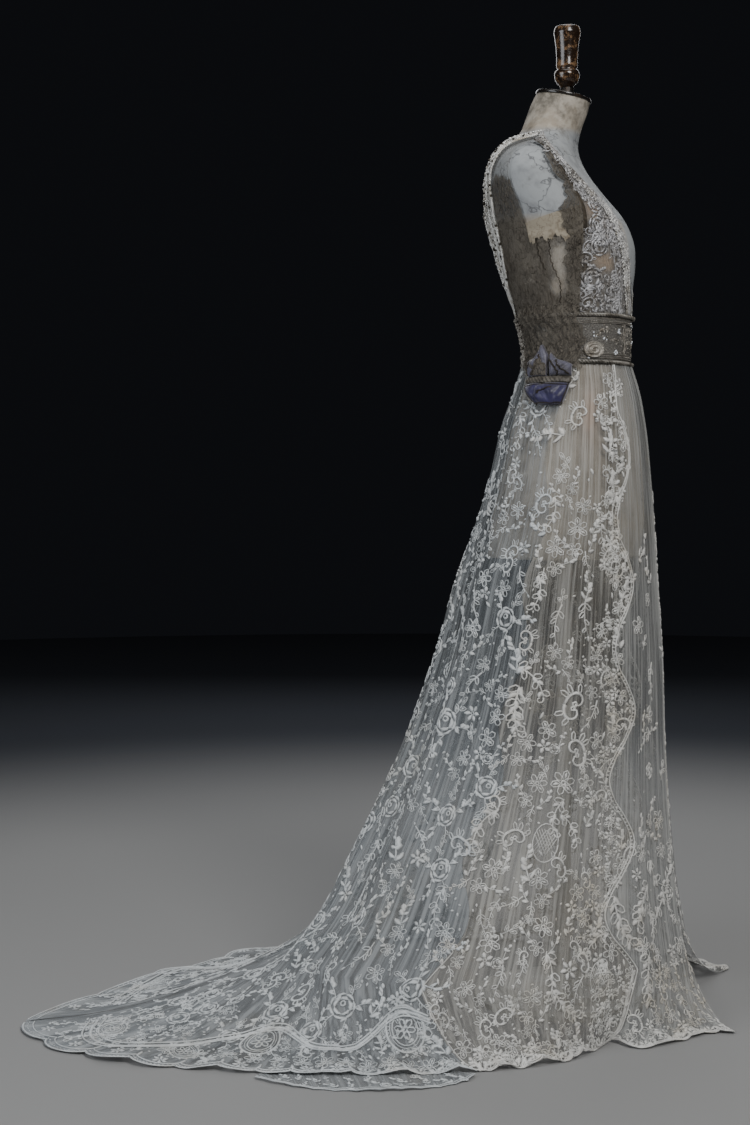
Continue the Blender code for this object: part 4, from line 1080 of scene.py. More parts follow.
def bodiceCloth(side, edgeA, edgeB, wave=0.0, stand=0.0009):
    # share of the way between two edges, and the way down from the shoulder; the cloth stands a
    # little off the form, more towards the shoulder, with shallow creases running between the edges
    skin = formSkin(side)

    def cloth(share, down, lift=0.0):
        share, down = spread(share, down)
        t = 1 - down
        (angleA, heightA), (angleB, heightB) = edgeLine(edgeA, t), edgeLine(edgeB, t)
        angle, height = angleA + (angleB - angleA) * share, heightA + (heightB - heightA) * share
        out = skinNormals(skin, angle, height, side)
        crease = wave * (np.sin(17 * share + 23 * t + side) * np.sin(31 * t - 6 * share) * 0.5 + 0.5)
        gap = ease + shoulderEase * np.clip((t - 0.68) / 0.12, 0, 1) + stand + crease
        return skin(angle, height) + out * (gap + lift)[..., None]
    return cloth


def edgeWidth(side, t):
    skin = formSkin(side)
    return np.linalg.norm(skin(*edgeLine(frontSeamTable, t)) - skin(*edgeLine(necklineTable, t)), axis=-1)


def bandShare(side, t):
    return np.minimum(neckBandWidth / edgeWidth(side, t), 0.45)


def stripShare(side, t):
    # where the armhole strip starts, above the underarm
    strip = 1.0 - np.minimum(armholeStripWidth / edgeWidth(side, t), 0.3)
    return np.where(t >= underarm, strip, 1.0)


def bare(*patches):
    # patches where the ground shows through: share, way down and half width of each
    def field(share, down):
        return np.clip(sum(np.exp(-(((share - a) / wide) ** 2 + ((down - b) / high) ** 2) ** 2)
            for a, b, wide, high in patches), 0, 1)
    return field


def bodicePanel(name, mark, side, edges, down, start, end, columns, key, slotName, wave, stand=0.0009, pale=None):
    cloth = bodiceCloth(side, *edges, wave, stand)
    share = start[:, None] + (end - start)[:, None] * np.linspace(0, 1, columns + 1)[None, :]
    fallen = down[:, None] + 0 * share
    grid = cloth(share, fallen)
    fields = {"pale": pale(share, fallen) if pale else 0 * share}
    if name == "bodice_front":
        # darkening that fades in from the front seam below the shoulder: grime together with painted seam shade
        fields["grimeAndSeamShade"] = np.exp(-((1 - share) / (0.2 + 0.1 * fallen)) ** 2) * ramp(fallen, 0.02, 0.15)
    layCloth(f"{name}_{mark}", grid, side == leftSide, key, slotName, [f"{name}_{mark}"], fields=fields)


down = np.linspace(0, 1, 97)
upperDown = np.linspace(0, 1 - underarm, 57)
lowerDown = np.linspace(1 - underarm, 1, 41)
frontEdges, backEdges, flankEdges = (necklineTable, frontSeamTable), (backSeamTable,
    centreBackTable), (frontSeamTable, backSeamTable)
frontBare = bare((0.74, 0.445, 0.26, 0.048), (0.62, 0.7, 0.2, 0.05))


def backBare(share, down):
    # white above a ragged line across the shoulder, with a worn patch beside the strap
    edge = 0.235 + 0.085 * share + 0.02 * np.sin(14 * share + 1) + 0.011 * np.sin(37 * share)
    worn = np.exp(-(((share - 0.88) / 0.12) ** 2 + ((down - 0.52) / 0.1) ** 2) ** 2)
    return np.clip(ramp(edge - down, -0.006, 0.006) + worn, 0, 1)


sideBare = bare((0.42, 0.7, 0.26, 0.1), (0.55, 0.84, 0.2, 0.06))
for mark, side in sides:
    neckBand, strap = bandShare(side, 1 - down), readSmooth(1 - down, strapShareTable)
    bodicePanel("neckline_band", mark, side, frontEdges, down, 0 * down, neckBand - 0.002, 10, "whiteNet",
        "beaded_trim", 0.0, 0.0018)
    bodicePanel("bodice_front", mark, side, frontEdges, down, neckBand + 0.002, stripShare(side, 1 - down) - 0.002,
        44, "silverNet", "silver_lace", 0.0008, pale=frontBare)
    bodicePanel("armhole_strip", mark, side, frontEdges, upperDown, stripShare(side, 1 - upperDown) + 0.002,
        0 * upperDown + 0.999, 8, "darkTrim", "dark_strip", 0.0, 0.0018)
    bodicePanel("bodice_back", mark, side, backEdges, down, 0 * down + 0.001, strap - 0.002, 32, "tarnished", "net",
        0.0012, pale=backBare)
    bodicePanel("back_strap", mark, side, backEdges, down, strap + 0.002, 0 * down + 0.9995, 32, "whiteNet",
        "beaded_trim", 0.0016, 0.0014)
    bodicePanel("bodice_side", mark, side, flankEdges, lowerDown, 0 * lowerDown + 0.002, 0 * lowerDown + 0.998, 44,
        "tarnished", "tarnished_net", 0.0012, pale=sideBare)
print("bodice panels done")


# waistband: a ring of metal lace with stepped frames, between two rope braids
band = {"wall": 0.003, "frames": (0.13, 0.19, 0.8, 0.86), "step": 0.0011, "braidRadius": 0.0031,
    "strandRadius": 0.0014,
    "pitch": 0.0098, "divider": math.radians(26.0), "reach": 0.108}


rightForm = formSkin(rightSide)


def bandDown(z):
    # share of the way down the waistband
    return (bandTop - np.asarray(z, float)) / (bandTop - bandBottom)


def bandSkin(angle, downShare):
    return rightForm(angle, bandTop + (bandBottom - bandTop) * downShare)


def bandCloth(angle, downShare, lift=0.0):
    # the form's skin moved out, with narrow raised lines at the frame's levels
    angle, downShare = spread(angle, downShare)
    height = bandTop + (bandBottom - bandTop) * downShare
    out = skinNormals(rightForm, angle, height, rightSide)
    lines = sum(np.exp(-((downShare - level) / 0.014) ** 2) for level in band["frames"])
    lines = lines + np.exp(-((angle - band["divider"] - 0.05 * np.maximum(downShare - 0.3, 0)) / 0.018) ** 2)
    rough = 0.00022 * np.sin(180 * angle) * np.sin(95 * downShare)
    stand = ease + band["wall"] + 0.0002 + band["step"] * np.minimum(lines, 1) + rough + lift
    return rightForm(angle, height) + out * stand[..., None]


def makeWaistband():
    # one strip round the waist, joined at the centre back
    angles, shares = np.meshgrid(np.linspace(math.pi, 3 * math.pi, 341), np.linspace(0, 1, 34))
    grid = bandCloth(angles, shares)
    layCloth("waistband", grid, False, "bandNet", "band_lace", ["waistband"], thickness=band["wall"] - 0.0004)


def tubeAround(path, outward, radius, steps):
    # a round closed tube: at each point of the path a ring in the plane of outward and the path's cross
    run = unit(np.roll(path, -1, axis=0) - np.roll(path, 1, axis=0))
    outward = unit(outward - run * np.sum(outward * run, axis=-1, keepdims=True))
    across = np.cross(run, outward)
    turn = np.linspace(0, fullTurn, steps, endpoint=False)[None, :, None]
    rings = path[:, None] + radius * (outward[:, None] * np.cos(turn) + across[:, None] * np.sin(turn))
    i, j = np.arange(len(path))[:, None] * steps, np.arange(steps)[None, :]
    nextRow, nextPoint = (i + steps) % (len(path) * steps), (j + 1) % steps
    quads = np.stack([i + j, i + nextPoint, nextRow + nextPoint, nextRow + j], axis=-1).reshape(-1, 4)
    return rings.reshape(-1, 3), quads, np.zeros((0, 3), dtype=int)


def ropeAround(z, radius, strandRadius, pitch, strands=2):
    # strands wound round a ring at one height of the form
    fine = np.linspace(0, fullTurn, 721)
    ringPath = rightForm(fine, np.full(len(fine), z))
    reach = np.concatenate([[0], np.cumsum(np.linalg.norm(np.diff(ringPath, axis=0), axis=-1))])
    turns = round(reach[-1] / pitch)
    count = turns * 8
    angle = np.interp(np.linspace(0, reach[-1], count, endpoint=False), reach, fine)
    out = skinNormals(rightForm, angle, np.full(count, z), rightSide)
    middle = rightForm(angle, np.full(count, z)) + out * (ease + band["wall"] + 0.0004 + radius)
    up = np.array([0.0, 0.0, 1.0])
    parts = []
    for k in range(strands):
        phase = fullTurn * (turns * np.arange(count) / count + k / strands)
        away = out * np.cos(phase)[:, None] + up * np.sin(phase)[:, None]
        parts.append(tubeAround(middle + away * (radius - strandRadius), away, strandRadius, 5))
    return parts


makeWaistband()
for name, z in (("braid_top", bandTop - band["braidRadius"]), ("braid_bottom", bandBottom + band["braidRadius"])):
    hangWork(f"{name}_rope", ropeAround(z, band["braidRadius"], band["strandRadius"], band["pitch"]), "rope", "braid",
        name)


def beadShape(squash=0.8):
    # a small faceted ball: two rings of six points and two poles
    turn = np.linspace(0, fullTurn, 6, endpoint=False)
    rings = [np.stack([0.86 * np.cos(turn + k * 0.52), 0.86 * np.sin(turn + k * 0.52), np.full(6, h * squash)],
        axis=-1)
        for k, h in enumerate((-0.5, 0.5))]
    points = np.concatenate([[[0, 0, -squash]], *rings, [[0, 0, squash]]])
    j = np.arange(6)
    k = (j + 1) % 6
    low = np.stack([np.zeros(6, int), 1 + k, 1 + j], axis=-1)
    middle = np.concatenate([np.stack([1 + j, 1 + k, 7 + j], axis=-1), np.stack([1 + k, 7 + k, 7 + j], axis=-1)])
    high = np.stack([7 + j, 7 + k, np.full(6, 13)], axis=-1)
    return points, np.concatenate([low, middle, high])


def beads(places, outs, sizes):
    # copies of one bead, each turned to stand on the cloth
    shape, tris = beadShape()
    side = unit(np.cross(outs, np.array([0.13, 0.31, 0.94])))
    up = np.cross(outs, side)
    local = shape[None] * np.asarray(sizes)[:, None, None]
    points = places[:, None] + local[..., :1] * side[:, None] + local[..., 1:2] * up[:, None] + local[...,
        2:] * outs[:, None]
    faces = tris[None] + (np.arange(len(places)) * len(shape))[:, None, None]
    return points.reshape(-1, 3), np.zeros((0, 4), int), faces.reshape(-1, 3)


def beadsOn(cloth, a, b, sizes, lift=0.0):
    a, b = np.asarray(a, float), np.asarray(b, float)
    low, high = cloth(a, b, 0.0), cloth(a, b, 0.002)
    outs = unit(high - low)
    sizes = np.broadcast_to(sizes, len(a))
    return beads(low + outs * (sizes * 0.6 + lift)[:, None], outs, sizes)


# medallion: a boss with a rope rim and a scroll
medal = {"angle": math.radians(68.0), "z": 1.081, "size": (0.0165, 0.014), "rise": 0.0058}


def makeMedallion():
    # rings about the boss's middle on the band, raised by a dome, a roped rim and a spiral
    centreDown = bandDown(medal["z"])
    step = 1e-3
    perAngle = np.linalg.norm(bandSkin(medal["angle"] + step, centreDown) - bandSkin(medal["angle"] - step,
        centreDown)) / (2 * step)
    perDown = bandTop - bandBottom
    rho, turn = np.linspace(0.0, 1, 26)[1:, None], np.linspace(0, fullTurn, 72, endpoint=False)[None, :]
    dome = np.where(rho < 0.86, 0.45 + 0.3 * (1 - (rho / 0.86) ** 2), 0.0)
    rim = np.exp(-((rho - 0.9) / 0.07) ** 2) * (0.85 + 0.15 * np.sin(22 * turn))
    spiral = np.exp(-((((rho * 2.6 - turn / (fullTurn)) % 1) - 0.5) / 0.2) ** 2) * (rho < 0.84) * 0.35
    height = (np.maximum(dome, rim) + spiral + 0.1) * (1 - ramp(rho, 0.97, 1.0))
    a = medal["angle"] + medal["size"][0] / perAngle * rho * np.cos(turn)
    b = centreDown - medal["size"][1] / perDown * rho * np.sin(turn)
    grid = bandCloth(a, b, height * medal["rise"] - 0.0002)
    centre = bandCloth(np.array([medal["angle"]]), np.array([centreDown]), 0.85 * medal["rise"])
    points = np.concatenate([grid.reshape(-1, 3), centre])
    return buildMesh("medallion_boss", points, gridQuads(25, 72, False, True), fan(72, len(points) - 1)[:, [1, 0, 2]],
        materials["bandMotif"])


settle(makeMedallion(), "band_lace", "medallion")
print("waistband done")


# sash: folded satin pads on the right back hip
sashStandOff = np.array([(0.9875, 0.0168), (1.022, 0.0162), (1.0345, 0.0142), (1.053, 0.013), (1.0655, 0.0136),
    (1.095, 0.0142)])
sash = {
    "sash_loop_front": dict(top=(89, 110), bottom=(89, 110), heights=(1.0345, 1.0655), full=0.0125, look="paleSatin",
        peak=(1.0, 0.01), slope=0.011,
        folds=((0.34, 0.9, 0.6, 0.09), (0.66, 0.8, 0.5, 0.08), (0.88, 0.5, 0.6, 0.06))),
    "sash_loop_back": dict(top=(112, 136), bottom=(112, 134), heights=(1.0345, 1.0655), full=0.0105, look="paleSatin",
        peak=(0.26, 0.025), folds=((0.22, -0.8, 0.5, 0.09), (0.56, 0.9, 0.6, 0.08), (0.82, -0.2, 0.5, 0.06))),
    "sash_braid": dict(top=(89, 136), bottom=(90, 134), heights=(1.0225, 1.034), full=0.0052, look="duskBraid",
        peak=(0, 0.0), folds=()),
    "sash_pouch": dict(top=(90, 132), bottom=(95, 117), heights=(0.9875, 1.022), full=0.0158, look="satin",
        peak=(0, 0.0), folds=((0.2, 0.5, 0.4, 0.06), (0.47, -0.35, 0.55, 0.07), (0.72, 0.6, 0.45, 0.06))),
}


def sashCloth(name, shape):
    # a pad that bulges off the hip between two edges that draw in downwards, its face broken by
    # slanting folds; the upper edge may rise to a peak
    def cloth(across, fall, lift=0.0):
        across, fall = spread(across, fall)
        start, end = (np.radians(top + (bottom - top) * fall ** 1.6) for top, bottom in zip(shape["top"],
            shape["bottom"]))
        low, high = shape["heights"]
        place, rise = shape["peak"]
        high = high + rise * np.exp(-((across - place) / 0.22) ** 2) - shape.get("slope", 0.0) * (1 - across) ** 1.5
        droop = 0.0016 * np.sin(math.pi * across) * fall if name == "sash_pouch" else 0.0
        angle, height = start + (end - start) * across, high + (low - high) * fall - droop
        out = skinNormals(rightForm, angle, height, rightSide)
        plump = np.clip(np.sin(math.pi * np.clip(across, 0, 1)) * np.sin(math.pi * np.clip(fall, 0, 1)), 0, 1) ** 0.42
        crease = sum(deep * np.exp(-((across - place - slant * (fall - 0.5) * 0.5) / wide) ** 2)
            for place, slant, deep, wide in shape["folds"]) if shape["folds"] else 0 * across
        plump = plump * (1 - 0.5 * np.minimum(crease, 1)) + 0.06 * plump * np.sin(11 * across + 7 * fall)
        if name == "sash_braid":
            plump = plump * (0.7 + 0.3 * np.sin(fullTurn * (13 * across + 1.2 * fall)))
        stand = readSmooth(height, sashStandOff)
        stand = stand + 0.0022 * ramp(plump, 0.0, 0.3) + shape["full"] * plump + lift
        return rightForm(angle, height) + out * stand[..., None]
    return cloth


darkLines = {  # lines of dark thread over the sash: across and fall at each end, bend
    "sash_loop_front": (((0.1, 0.95), (0.62, 0.1), 0.16), ((0.55, 0.98), (0.96, 0.3), -0.1)),
    "sash_loop_back": (((0.05, 0.55), (0.55, 0.95), 0.15), ((0.3, 0.3), (0.72, 0.92), -0.14),
        ((0.8, 0.1), (0.9, 0.95), 0.05)), "sash_pouch": (((0.3, 0.35), (0.62, 0.62), 0.08),),
}
lineParts = []
for name, shape in sash.items():
    cloth = sashCloth(name, shape)
    across, fall = np.meshgrid(np.linspace(0, 1, 51), np.linspace(0, 1, 35))
    grid = cloth(across, fall)
    layCloth(name, grid, False, shape["look"], "braid" if name == "sash_braid" else "satin", [name], "_satin",
        thickness=0.0011)
    for start, end, bend in darkLines.get(name, ()):
        step = np.linspace(0, 1, 40)
        arch = bend * np.sin(math.pi * step) + 0.02 * np.sin(23 * step)
        lineParts.append(cordOn(cloth, *along(start, end, step, arch), 0.0028, 0.0014, 0.0))
    step = np.linspace(0.0, 1.0, 70)
    if name == "sash_pouch":
        rim = ((0.03 + 0 * step, step), (0.97 + 0 * step, step), (0.03 + 0.94 * step, 0.97 + 0 * step),
            (0.03 + 0.94 * step, 0.14 + 0.03 * np.sin(9 * step)))
        lineParts += [cordOn(cloth, a, b, 0.0021, 0.0012, 0.0) for a, b in rim]

# torn net caught over the middle of the loops
across, fall = np.meshgrid(np.linspace(0, 1, 41), np.linspace(0, 1, 25))
ragged = 0.07 * np.sin(11 * across) + 0.05 * np.sin(29 * across + 1)
netOver = sashCloth("sash_loop_back", sash["sash_loop_back"])
grid = netOver(0.02 + (0.62 + 0.1 * np.sin(9 * fall)) * across, 0.48 + ragged + (0.5 - ragged) * fall, 0.0009)
layCloth("sash_torn_net", grid, False, "tarnished", "tarnished_net", fields={"pale": 0 * across})
hangWork("sash_dark_thread", lineParts, "darkTrim", "dark_strip")


# work on the waistband: beads, crystals and small scrolls; knots of beads over the centre back
bandWork = {"crystals": ((36, 1.1126, 7), (55, 1.0985, 5), (40.5, 1.0778, 8), (74, 1.0695, 2), (73, 1.079, 2),
    (66, 1.106, 3), (8, 1.1258, 3), (4, 1.0985, 3)), "crystalSize": 0.0018, "beadSize": 0.0015, "rowPitch": 0.0048}


def spreadOver(cloth, count, a0, a1, b0, b1, seed, clear=0.0):
    # seeded places over a patch of a cloth, kept apart by a clear distance
    draw = np.random.default_rng(seed)
    a, b = draw.uniform(a0, a1, count), draw.uniform(b0, b1, count)
    places, kept = cloth(a, b), []
    for k in range(count):
        if not kept or np.min(np.sum((places[kept] - places[k]) ** 2, axis=-1)) > clear ** 2:
            kept.append(k)
    return a[kept], b[kept]


draw = np.random.default_rng(7)
crystalParts = []
for mirror in (1, -1):
    for angle, z, count in bandWork["crystals"]:
        turn = draw.uniform(0, fullTurn, count)
        away = np.sqrt(draw.uniform(0.1, 1.0, count)) * 0.0042
        a = mirror * (math.radians(angle) + away * np.cos(turn) / band["reach"])
        crystalParts.append(beadsOn(bandCloth, a, bandDown(z + away * np.sin(turn)),
            bandWork["crystalSize"] * draw.uniform(0.7, 1.25, count)))
hangWork("waistband_crystals", crystalParts, "crystal", "beaded_trim")
a, b = spreadOver(bandCloth, 900, 0, fullTurn, 0.22, 0.78, 11, 0.0068)
bandBeads = [beadsOn(bandCloth, a, b, bandWork["beadSize"] * draw.uniform(0.6, 1.2, len(a)))]
a, b = spreadOver(bandCloth, 1400, math.radians(147), math.radians(213), 0.1, 1.18, 12, 0.005)
bandBeads.append(beadsOn(bandCloth, a, b, 0.003 * draw.uniform(0.5, 1.3, len(a)), 0.0012))
for line in (0.16, 0.83):
    a = np.arange(0, fullTurn, bandWork["rowPitch"] / band["reach"])
    bandBeads.append(beadsOn(bandCloth, a, line + 0 * a, 0.0012))
a, b = spreadOver(bandCloth, 700, 0, fullTurn, 0.34, 0.66, 13, 0.0165)
kinds = ("curl", "spray", "curlLeft", "buds", "petalFlower", "sprayLeft")
bandSpots = [(kinds[k % len(kinds)], a[k], b[k], draw.uniform(-2.5, 2.5), draw.uniform(0.0105, 0.0135))
    for k in range(len(a))]
centre = np.array([medal["angle"], bandDown(medal["z"])])
bandSpots = [spot for spot in bandSpots if abs(spot[1] - centre[0]) > 0.24 or abs(spot[2] - centre[1]) > 0.3]
turnAll = np.linspace(0, fullTurn, 361)
bandLines = [cordOn(bandCloth, turnAll, line + 0 * turnAll, wide, 0.0009) for line, wide in
    ((0.1, 0.0022), (0.195, 0.0013), (0.795, 0.0013), (0.88, 0.0018))]
drop = np.linspace(0.2, 0.79, 24)
for mirror in (1, -1):
    bandLines += [cordOn(bandCloth, mirror * (band["divider"] + off + 0.012 * np.sin(17 * drop + 40 * off)), drop,
        0.0016, 0.001)
        for off in (0.0, 0.03)]
bandScrolls = layMotifs(bandSkin, bandCloth, 1.0, bandSpots, 0.0, 0.0018)
hangWork("waistband_scrolls", [bandScrolls, *bandBeads, *bandLines], "bandMotif", "band_lace")


# right flank: torn net over the rear of the waistband, the ragged cream band under the armhole
veil = {"angles": (80.0, 149.0), "heights": (1.048, 1.156)}


def veilCloth(angle, fall, lift=0.0):
    # hangs from the bodice over the upper braid and clings to the band, bulging over both braids
    angle, fall = spread(angle, fall)
    low, high = veil["heights"]
    height = high + (low - high) * fall
    out = skinNormals(rightForm, angle, height, rightSide)
    over = ramp(height, 1.1545, 1.14)
    dip = 0.0034 * np.exp(-((height - 1.1) / 0.02) ** 4)
    crease = 0.0007 * np.sin(46 * angle + 30 * fall) + 0.0005 * np.sin(83 * angle - 19 * fall)
    return rightForm(angle, height) + out * (0.0039 + 0.0092 * over - dip + crease + lift)[..., None]


def makeVeil():
    angle, fall = np.meshgrid(np.linspace(0, 1, 57), np.linspace(0, 1, 47))
    first = np.radians(veil["angles"][0] + 2.6 * np.sin(9 * fall) + 1.8 * np.sin(31 * fall))
    last = np.radians(veil["angles"][1] + 2.0 * np.sin(13 * fall + 1))
    grid = veilCloth(first + (last - first) * angle, fall)
    layCloth("tarnished_overlap_R", grid, False, "tarnished", "tarnished_net", fields={"pale": 0 * angle})


makeVeil()
crescent = {"front": 0.585, "back": 0.5, "low": 0.405}


def makeCrescent(mark, side):
    # a strip whose upper edge slants and whose lower edge is torn in small tongues
    share, fall = np.meshgrid(np.linspace(0.0, 1.0, 81), np.linspace(0, 1, 13))
    topT = crescent["front"] + (crescent["back"] - crescent["front"]) * share
    torn = 0.012 * np.sin(19 * share + side) + 0.008 * np.sin(53 * share) + 0.005 * np.sin(131 * share)
    lowT = crescent["low"] + torn + 0.018 * np.sin(math.pi * share)
    t = topT + (lowT - topT) * fall
    stand = 0.001 + 0.0024 * ramp(t, 0.47, 0.43)
    cloth = bodiceCloth(side, *flankEdges, 0.0004, 0.0)
    grid = cloth(share, 1 - t, stand)
    layCloth(f"form_cover_edge_{mark}", grid, side == leftSide, "crescent", "linen", ending="")


def makeSeamNet(mark, side):
    # torn dark net that hangs from the armhole strip over the front seam, ragged on its back edge
    share, fall = np.meshgrid(np.linspace(0, 1, 15), np.linspace(0, 1, 91))
    ragged = 0.05 * np.sin(21 * fall) + 0.03 * np.sin(57 * fall + 1) + 0.02 * np.sin(131 * fall)
    reach = 0.16 + 0.16 * ramp(fall, 0.18, 0.4) + ragged * ramp(fall, 0.05, 0.2)
    cloth = bodiceCloth(side, *flankEdges, 0.001, 0.0)
    grid = cloth(0.004 + reach * share, 0.14 + 0.85 * fall, 0.0046 - 0.0012 * share)
    layCloth(f"seam_net_{mark}", grid, side == leftSide, "tarnished", "tarnished_net", fields={"pale": 0 * share})


for mark, side in sides:
    makeCrescent(mark, side)
    makeSeamNet(mark, side)


# bodice needlework: scrolls of silver cord on the front, cords along the neck, beads on the straps
bodiceWork = {"scrollSize": (0.0125, 0.02), "cord": 0.0026}


def fadeSpots(spots, field):
    return [spot for spot in spots if field(np.array(spot[1]), np.array(spot[2])) < 0.16]


for mark, side in sides:
    draw = np.random.default_rng(17 if side == rightSide else 23)
    front = bodiceCloth(side, *frontEdges, 0.0008)
    a, b = spreadOver(front, 2600, 0.06, 0.97, 0.06, 0.985, 31, 0.0118)
    widthAt = bandShare(side, 1 - b)
    inside = (a > widthAt + 0.01) & (a < stripShare(side, 1 - b) - 0.02)
    a, b = a[inside], b[inside]
    kinds = ("curl", "curlLeft", "spray", "sprayLeft", "wreath", "buds", "rose", "bells")
    spots = [(kinds[draw.integers(len(kinds))], a[k], b[k], draw.normal(0.4 * side, 0.9),
        draw.uniform(*bodiceWork["scrollSize"])) for k in range(len(a))]
    spots = fadeSpots(spots, frontBare)
    a, b = spreadOver(front, 1500, 0.0, 1.0, 0.03, 0.5, 37, 0.0062)
    inside = (a > bandShare(side, 1 - b) + 0.02) & (a < stripShare(side, 1 - b) - 0.03)
    small = ("leaf", "buds", "leaf", "curl")
    spots = spots + fadeSpots([(small[k % 4], a[k], b[k], draw.uniform(-1.5, 1.5), draw.uniform(0.007, 0.01))
        for k in np.flatnonzero(inside)], frontBare)
    parts = [layMotifs(front, front, -side, spots, 0.0002, 0.0016)]
    line = np.linspace(0.004, 0.996, 240)
    for share in (0.12, 0.45, 0.8):
        parts.append(cordOn(front, bandShare(side, 1 - line) * share, line, bodiceWork["cord"], 0.0016, 0.0009))
    for wander, place in ((0.02, 0.1), (0.015, 0.2)):
        low = np.linspace(0.45, 0.995, 200)
        parts.append(cordOn(front, bandShare(side, 1 - low) + place + wander * np.sin(11 * low + place * 40), low,
            0.0017, 0.0012, 0.0004))
    hangWork(f"bodice_front_{mark}_scrolls", parts, "silverMotif", "silver_lace")
    # crumpled white lace along the neck edge
    a, b = spreadOver(front, 1500, 0.0, 1.0, 0.01, 0.99, 33, 0.005)
    a = a * bandShare(side, 1 - b)
    spots = [("leaf", a[k], b[k], draw.uniform(-1.6, 1.6), draw.uniform(0.006, 0.01)) for k in range(len(a))]
    hangWork(f"neckline_band_{mark}_lace", [layMotifs(front, front, -side, spots, 0.0011, 0.0016)], "pearl",
        "beaded_trim")
    strapCloth = bodiceCloth(side, *backEdges, 0.0016, 0.0014)
    parts = []
    line = np.linspace(0.0, 0.82, 150)
    strapStart = readSmooth(1 - line, strapShareTable)
    for share in (0.03, 0.22, 0.95):
        parts.append(beadsOn(strapCloth, strapStart + (1 - strapStart) * share, line, 0.0022))
    a, b = spreadOver(strapCloth, 2400, 0.0, 1.0, 0.0, 0.83, 35, 0.0066)
    start = readSmooth(1 - b, strapShareTable)
    dark = draw.random(len(a)) < 0.22
    sizes = 0.0023 * draw.uniform(0.5, 1.3, len(a))
    parts.append(beadsOn(strapCloth, (start + (1 - start) * a)[~dark], b[~dark], sizes[~dark]))
    darkBeads = beadsOn(strapCloth, (start + (1 - start) * a)[dark], b[dark], sizes[dark])
    hangWork(f"back_strap_{mark}_dark_beads", [darkBeads], "darkTrim", "beaded_trim")
    low = np.linspace(0.8, 0.998, 70)
    start = readSmooth(1 - low, strapShareTable)
    for share in np.linspace(0.06, 0.94, 7):
        parts.append(cordOn(strapCloth, start + (1 - start) * (share + 0.03 * np.sin(17 * low + 9 * share)), low,
            0.003, 0.0018, 0.0003))
    hangWork(f"back_strap_{mark}_beads", parts, "pearl", "beaded_trim")
    # frayed dark threads along the front seam and down the flank
    flank = bodiceCloth(side, *flankEdges, 0.0012)
    parts = []
    for start, end, bend in (((0.02, 0.56), (0.03, 0.99), 0.015), ((0.62, 0.6), (0.52, 0.8), 0.07),
            ((0.5, 0.8), (0.6, 0.98), -0.05), ((0.86, 0.58), (0.8, 0.75), 0.05), ((0.3, 0.88), (0.12, 0.97), 0.04)):
        step = np.linspace(0, 1, 60)
        wander = bend * np.sin(math.pi * step) + 0.012 * np.sin(29 * step) + 0.008 * np.sin(61 * step)
        parts.append(cordOn(flank, *along(start, end, step, wander), 0.0016, 0.0011, 0.0002))
    hangWork(f"bodice_side_{mark}_threads", parts, "darkTrim", "dark_strip")
print("bodice needlework done")
print("sash done")


# strip of under-net that lies on the floor beyond the right border
underHem = {"span": (0.575, 0.8), "reach": 0.074, "tuck": 0.03}


def underHemCloth(side):
    # straight lines from inside the hem to a swelling outer edge, with low ripples
    skin = skirtSkin(side, False)

    def cloth(s, shareOut, lift=0.0):
        s, shareOut = spread(s, shareOut)
        hem, inland = skin(s, 2.0 + 0 * s), skin(s, 1.9 + 0 * s)
        run = (inland - hem) * (1, 1, 0)
        run = unit(run)
        place = np.clip((s - underHem["span"][0]) / (underHem["span"][1] - underHem["span"][0]), 0, 1)
        swell = np.sin(0.12 + (math.pi - 0.24) * place) ** 0.6
        edge = 1 - 0.05 * np.abs(np.sin(math.pi * 12 * place))
        far = (hem - run * (underHem["reach"] * swell * edge)[..., None])
        near = hem + run * underHem["tuck"]
        points = near + (far - near) * shareOut[..., None]
        ripple = 0.0032 * (0.5 + 0.5 * np.sin(60 * s + 5 * shareOut)) * ramp(shareOut, 0.3, 0.75)
        points[..., 2] = 0.001 + ripple + lift
        return points
    return cloth


def makeUnderHem():
    s, share = np.meshgrid(np.linspace(*underHem["span"], 121), np.linspace(0, 1, 25))
    grid = underHemCloth(rightSide)(s, share)
    layCloth("under_net_hem", grid, False, "trainNet", "net", ["under_net_hem_R"],
        fields={"addedAlpha": 0.1 + 0.4 * ramp(share, 0.92, 0.97)})


makeUnderHem()


# placing the needlework
def spreadSpots(skin, count, startOf, endOf, low, high, kinds, seed, density=None, spacing=1.0, fixed=(), room=0.9):
    # seeded places tried one after another, each kept where it is clear of those before it
    draw = np.random.default_rng(seed)
    b = low + (high - low) * draw.random(count)
    start, end = startOf(b), endOf(b)
    a = start + (end - start) * draw.random(count)
    names = list(kinds)
    weights = np.array([kinds[k][0] for k in names], float)
    pick = draw.choice(len(names), size=count, p=weights / weights.sum())
    order = np.argsort(-np.array([kinds[names[k]][1] for k in pick]) * draw.uniform(0.55, 1.0, count), kind="stable")
    thin = density(a, b) if density is not None else np.ones(count)
    keep = draw.random(count)
    places = skin(a, b)
    tilt = draw.normal(0, 0.55, count)
    wobble = draw.uniform(0.85, 1.18, count)
    spots = list(fixed)
    kept = skin(*np.array([spot[1:3] for spot in fixed]).reshape(-1, 2).T)
    radii = np.array([spot[4] * room for spot in fixed])
    for k in order:
        if keep[k] > thin[k]:
            continue
        kind = names[pick[k]]
        size = kinds[kind][1] * wobble[k]
        radius = size * kinds[kind][2] * spacing
        if len(kept) and np.any(np.sum((kept - places[k]) ** 2, axis=-1) < (radii + radius) ** 2):
            continue
        kept, radii = np.vstack([kept, places[k]]), np.append(radii, radius)
        free = kind in ("petalFlower", "fivePetal", "starFlower", "rose", "dot")
        spots.append((kind, a[k], b[k], tilt[k] * (3.0 if free else 1.0), size))
    return spots


def bothHands(kinds):
    # a Left kind after every kind that has one, with the same numbers
    handed = {}
    for kind, numbers in kinds.items():
        handed[kind.strip("*")] = numbers
        if kind.endswith("*"):
            handed[kind.strip("*") + "Left"] = numbers
    return handed


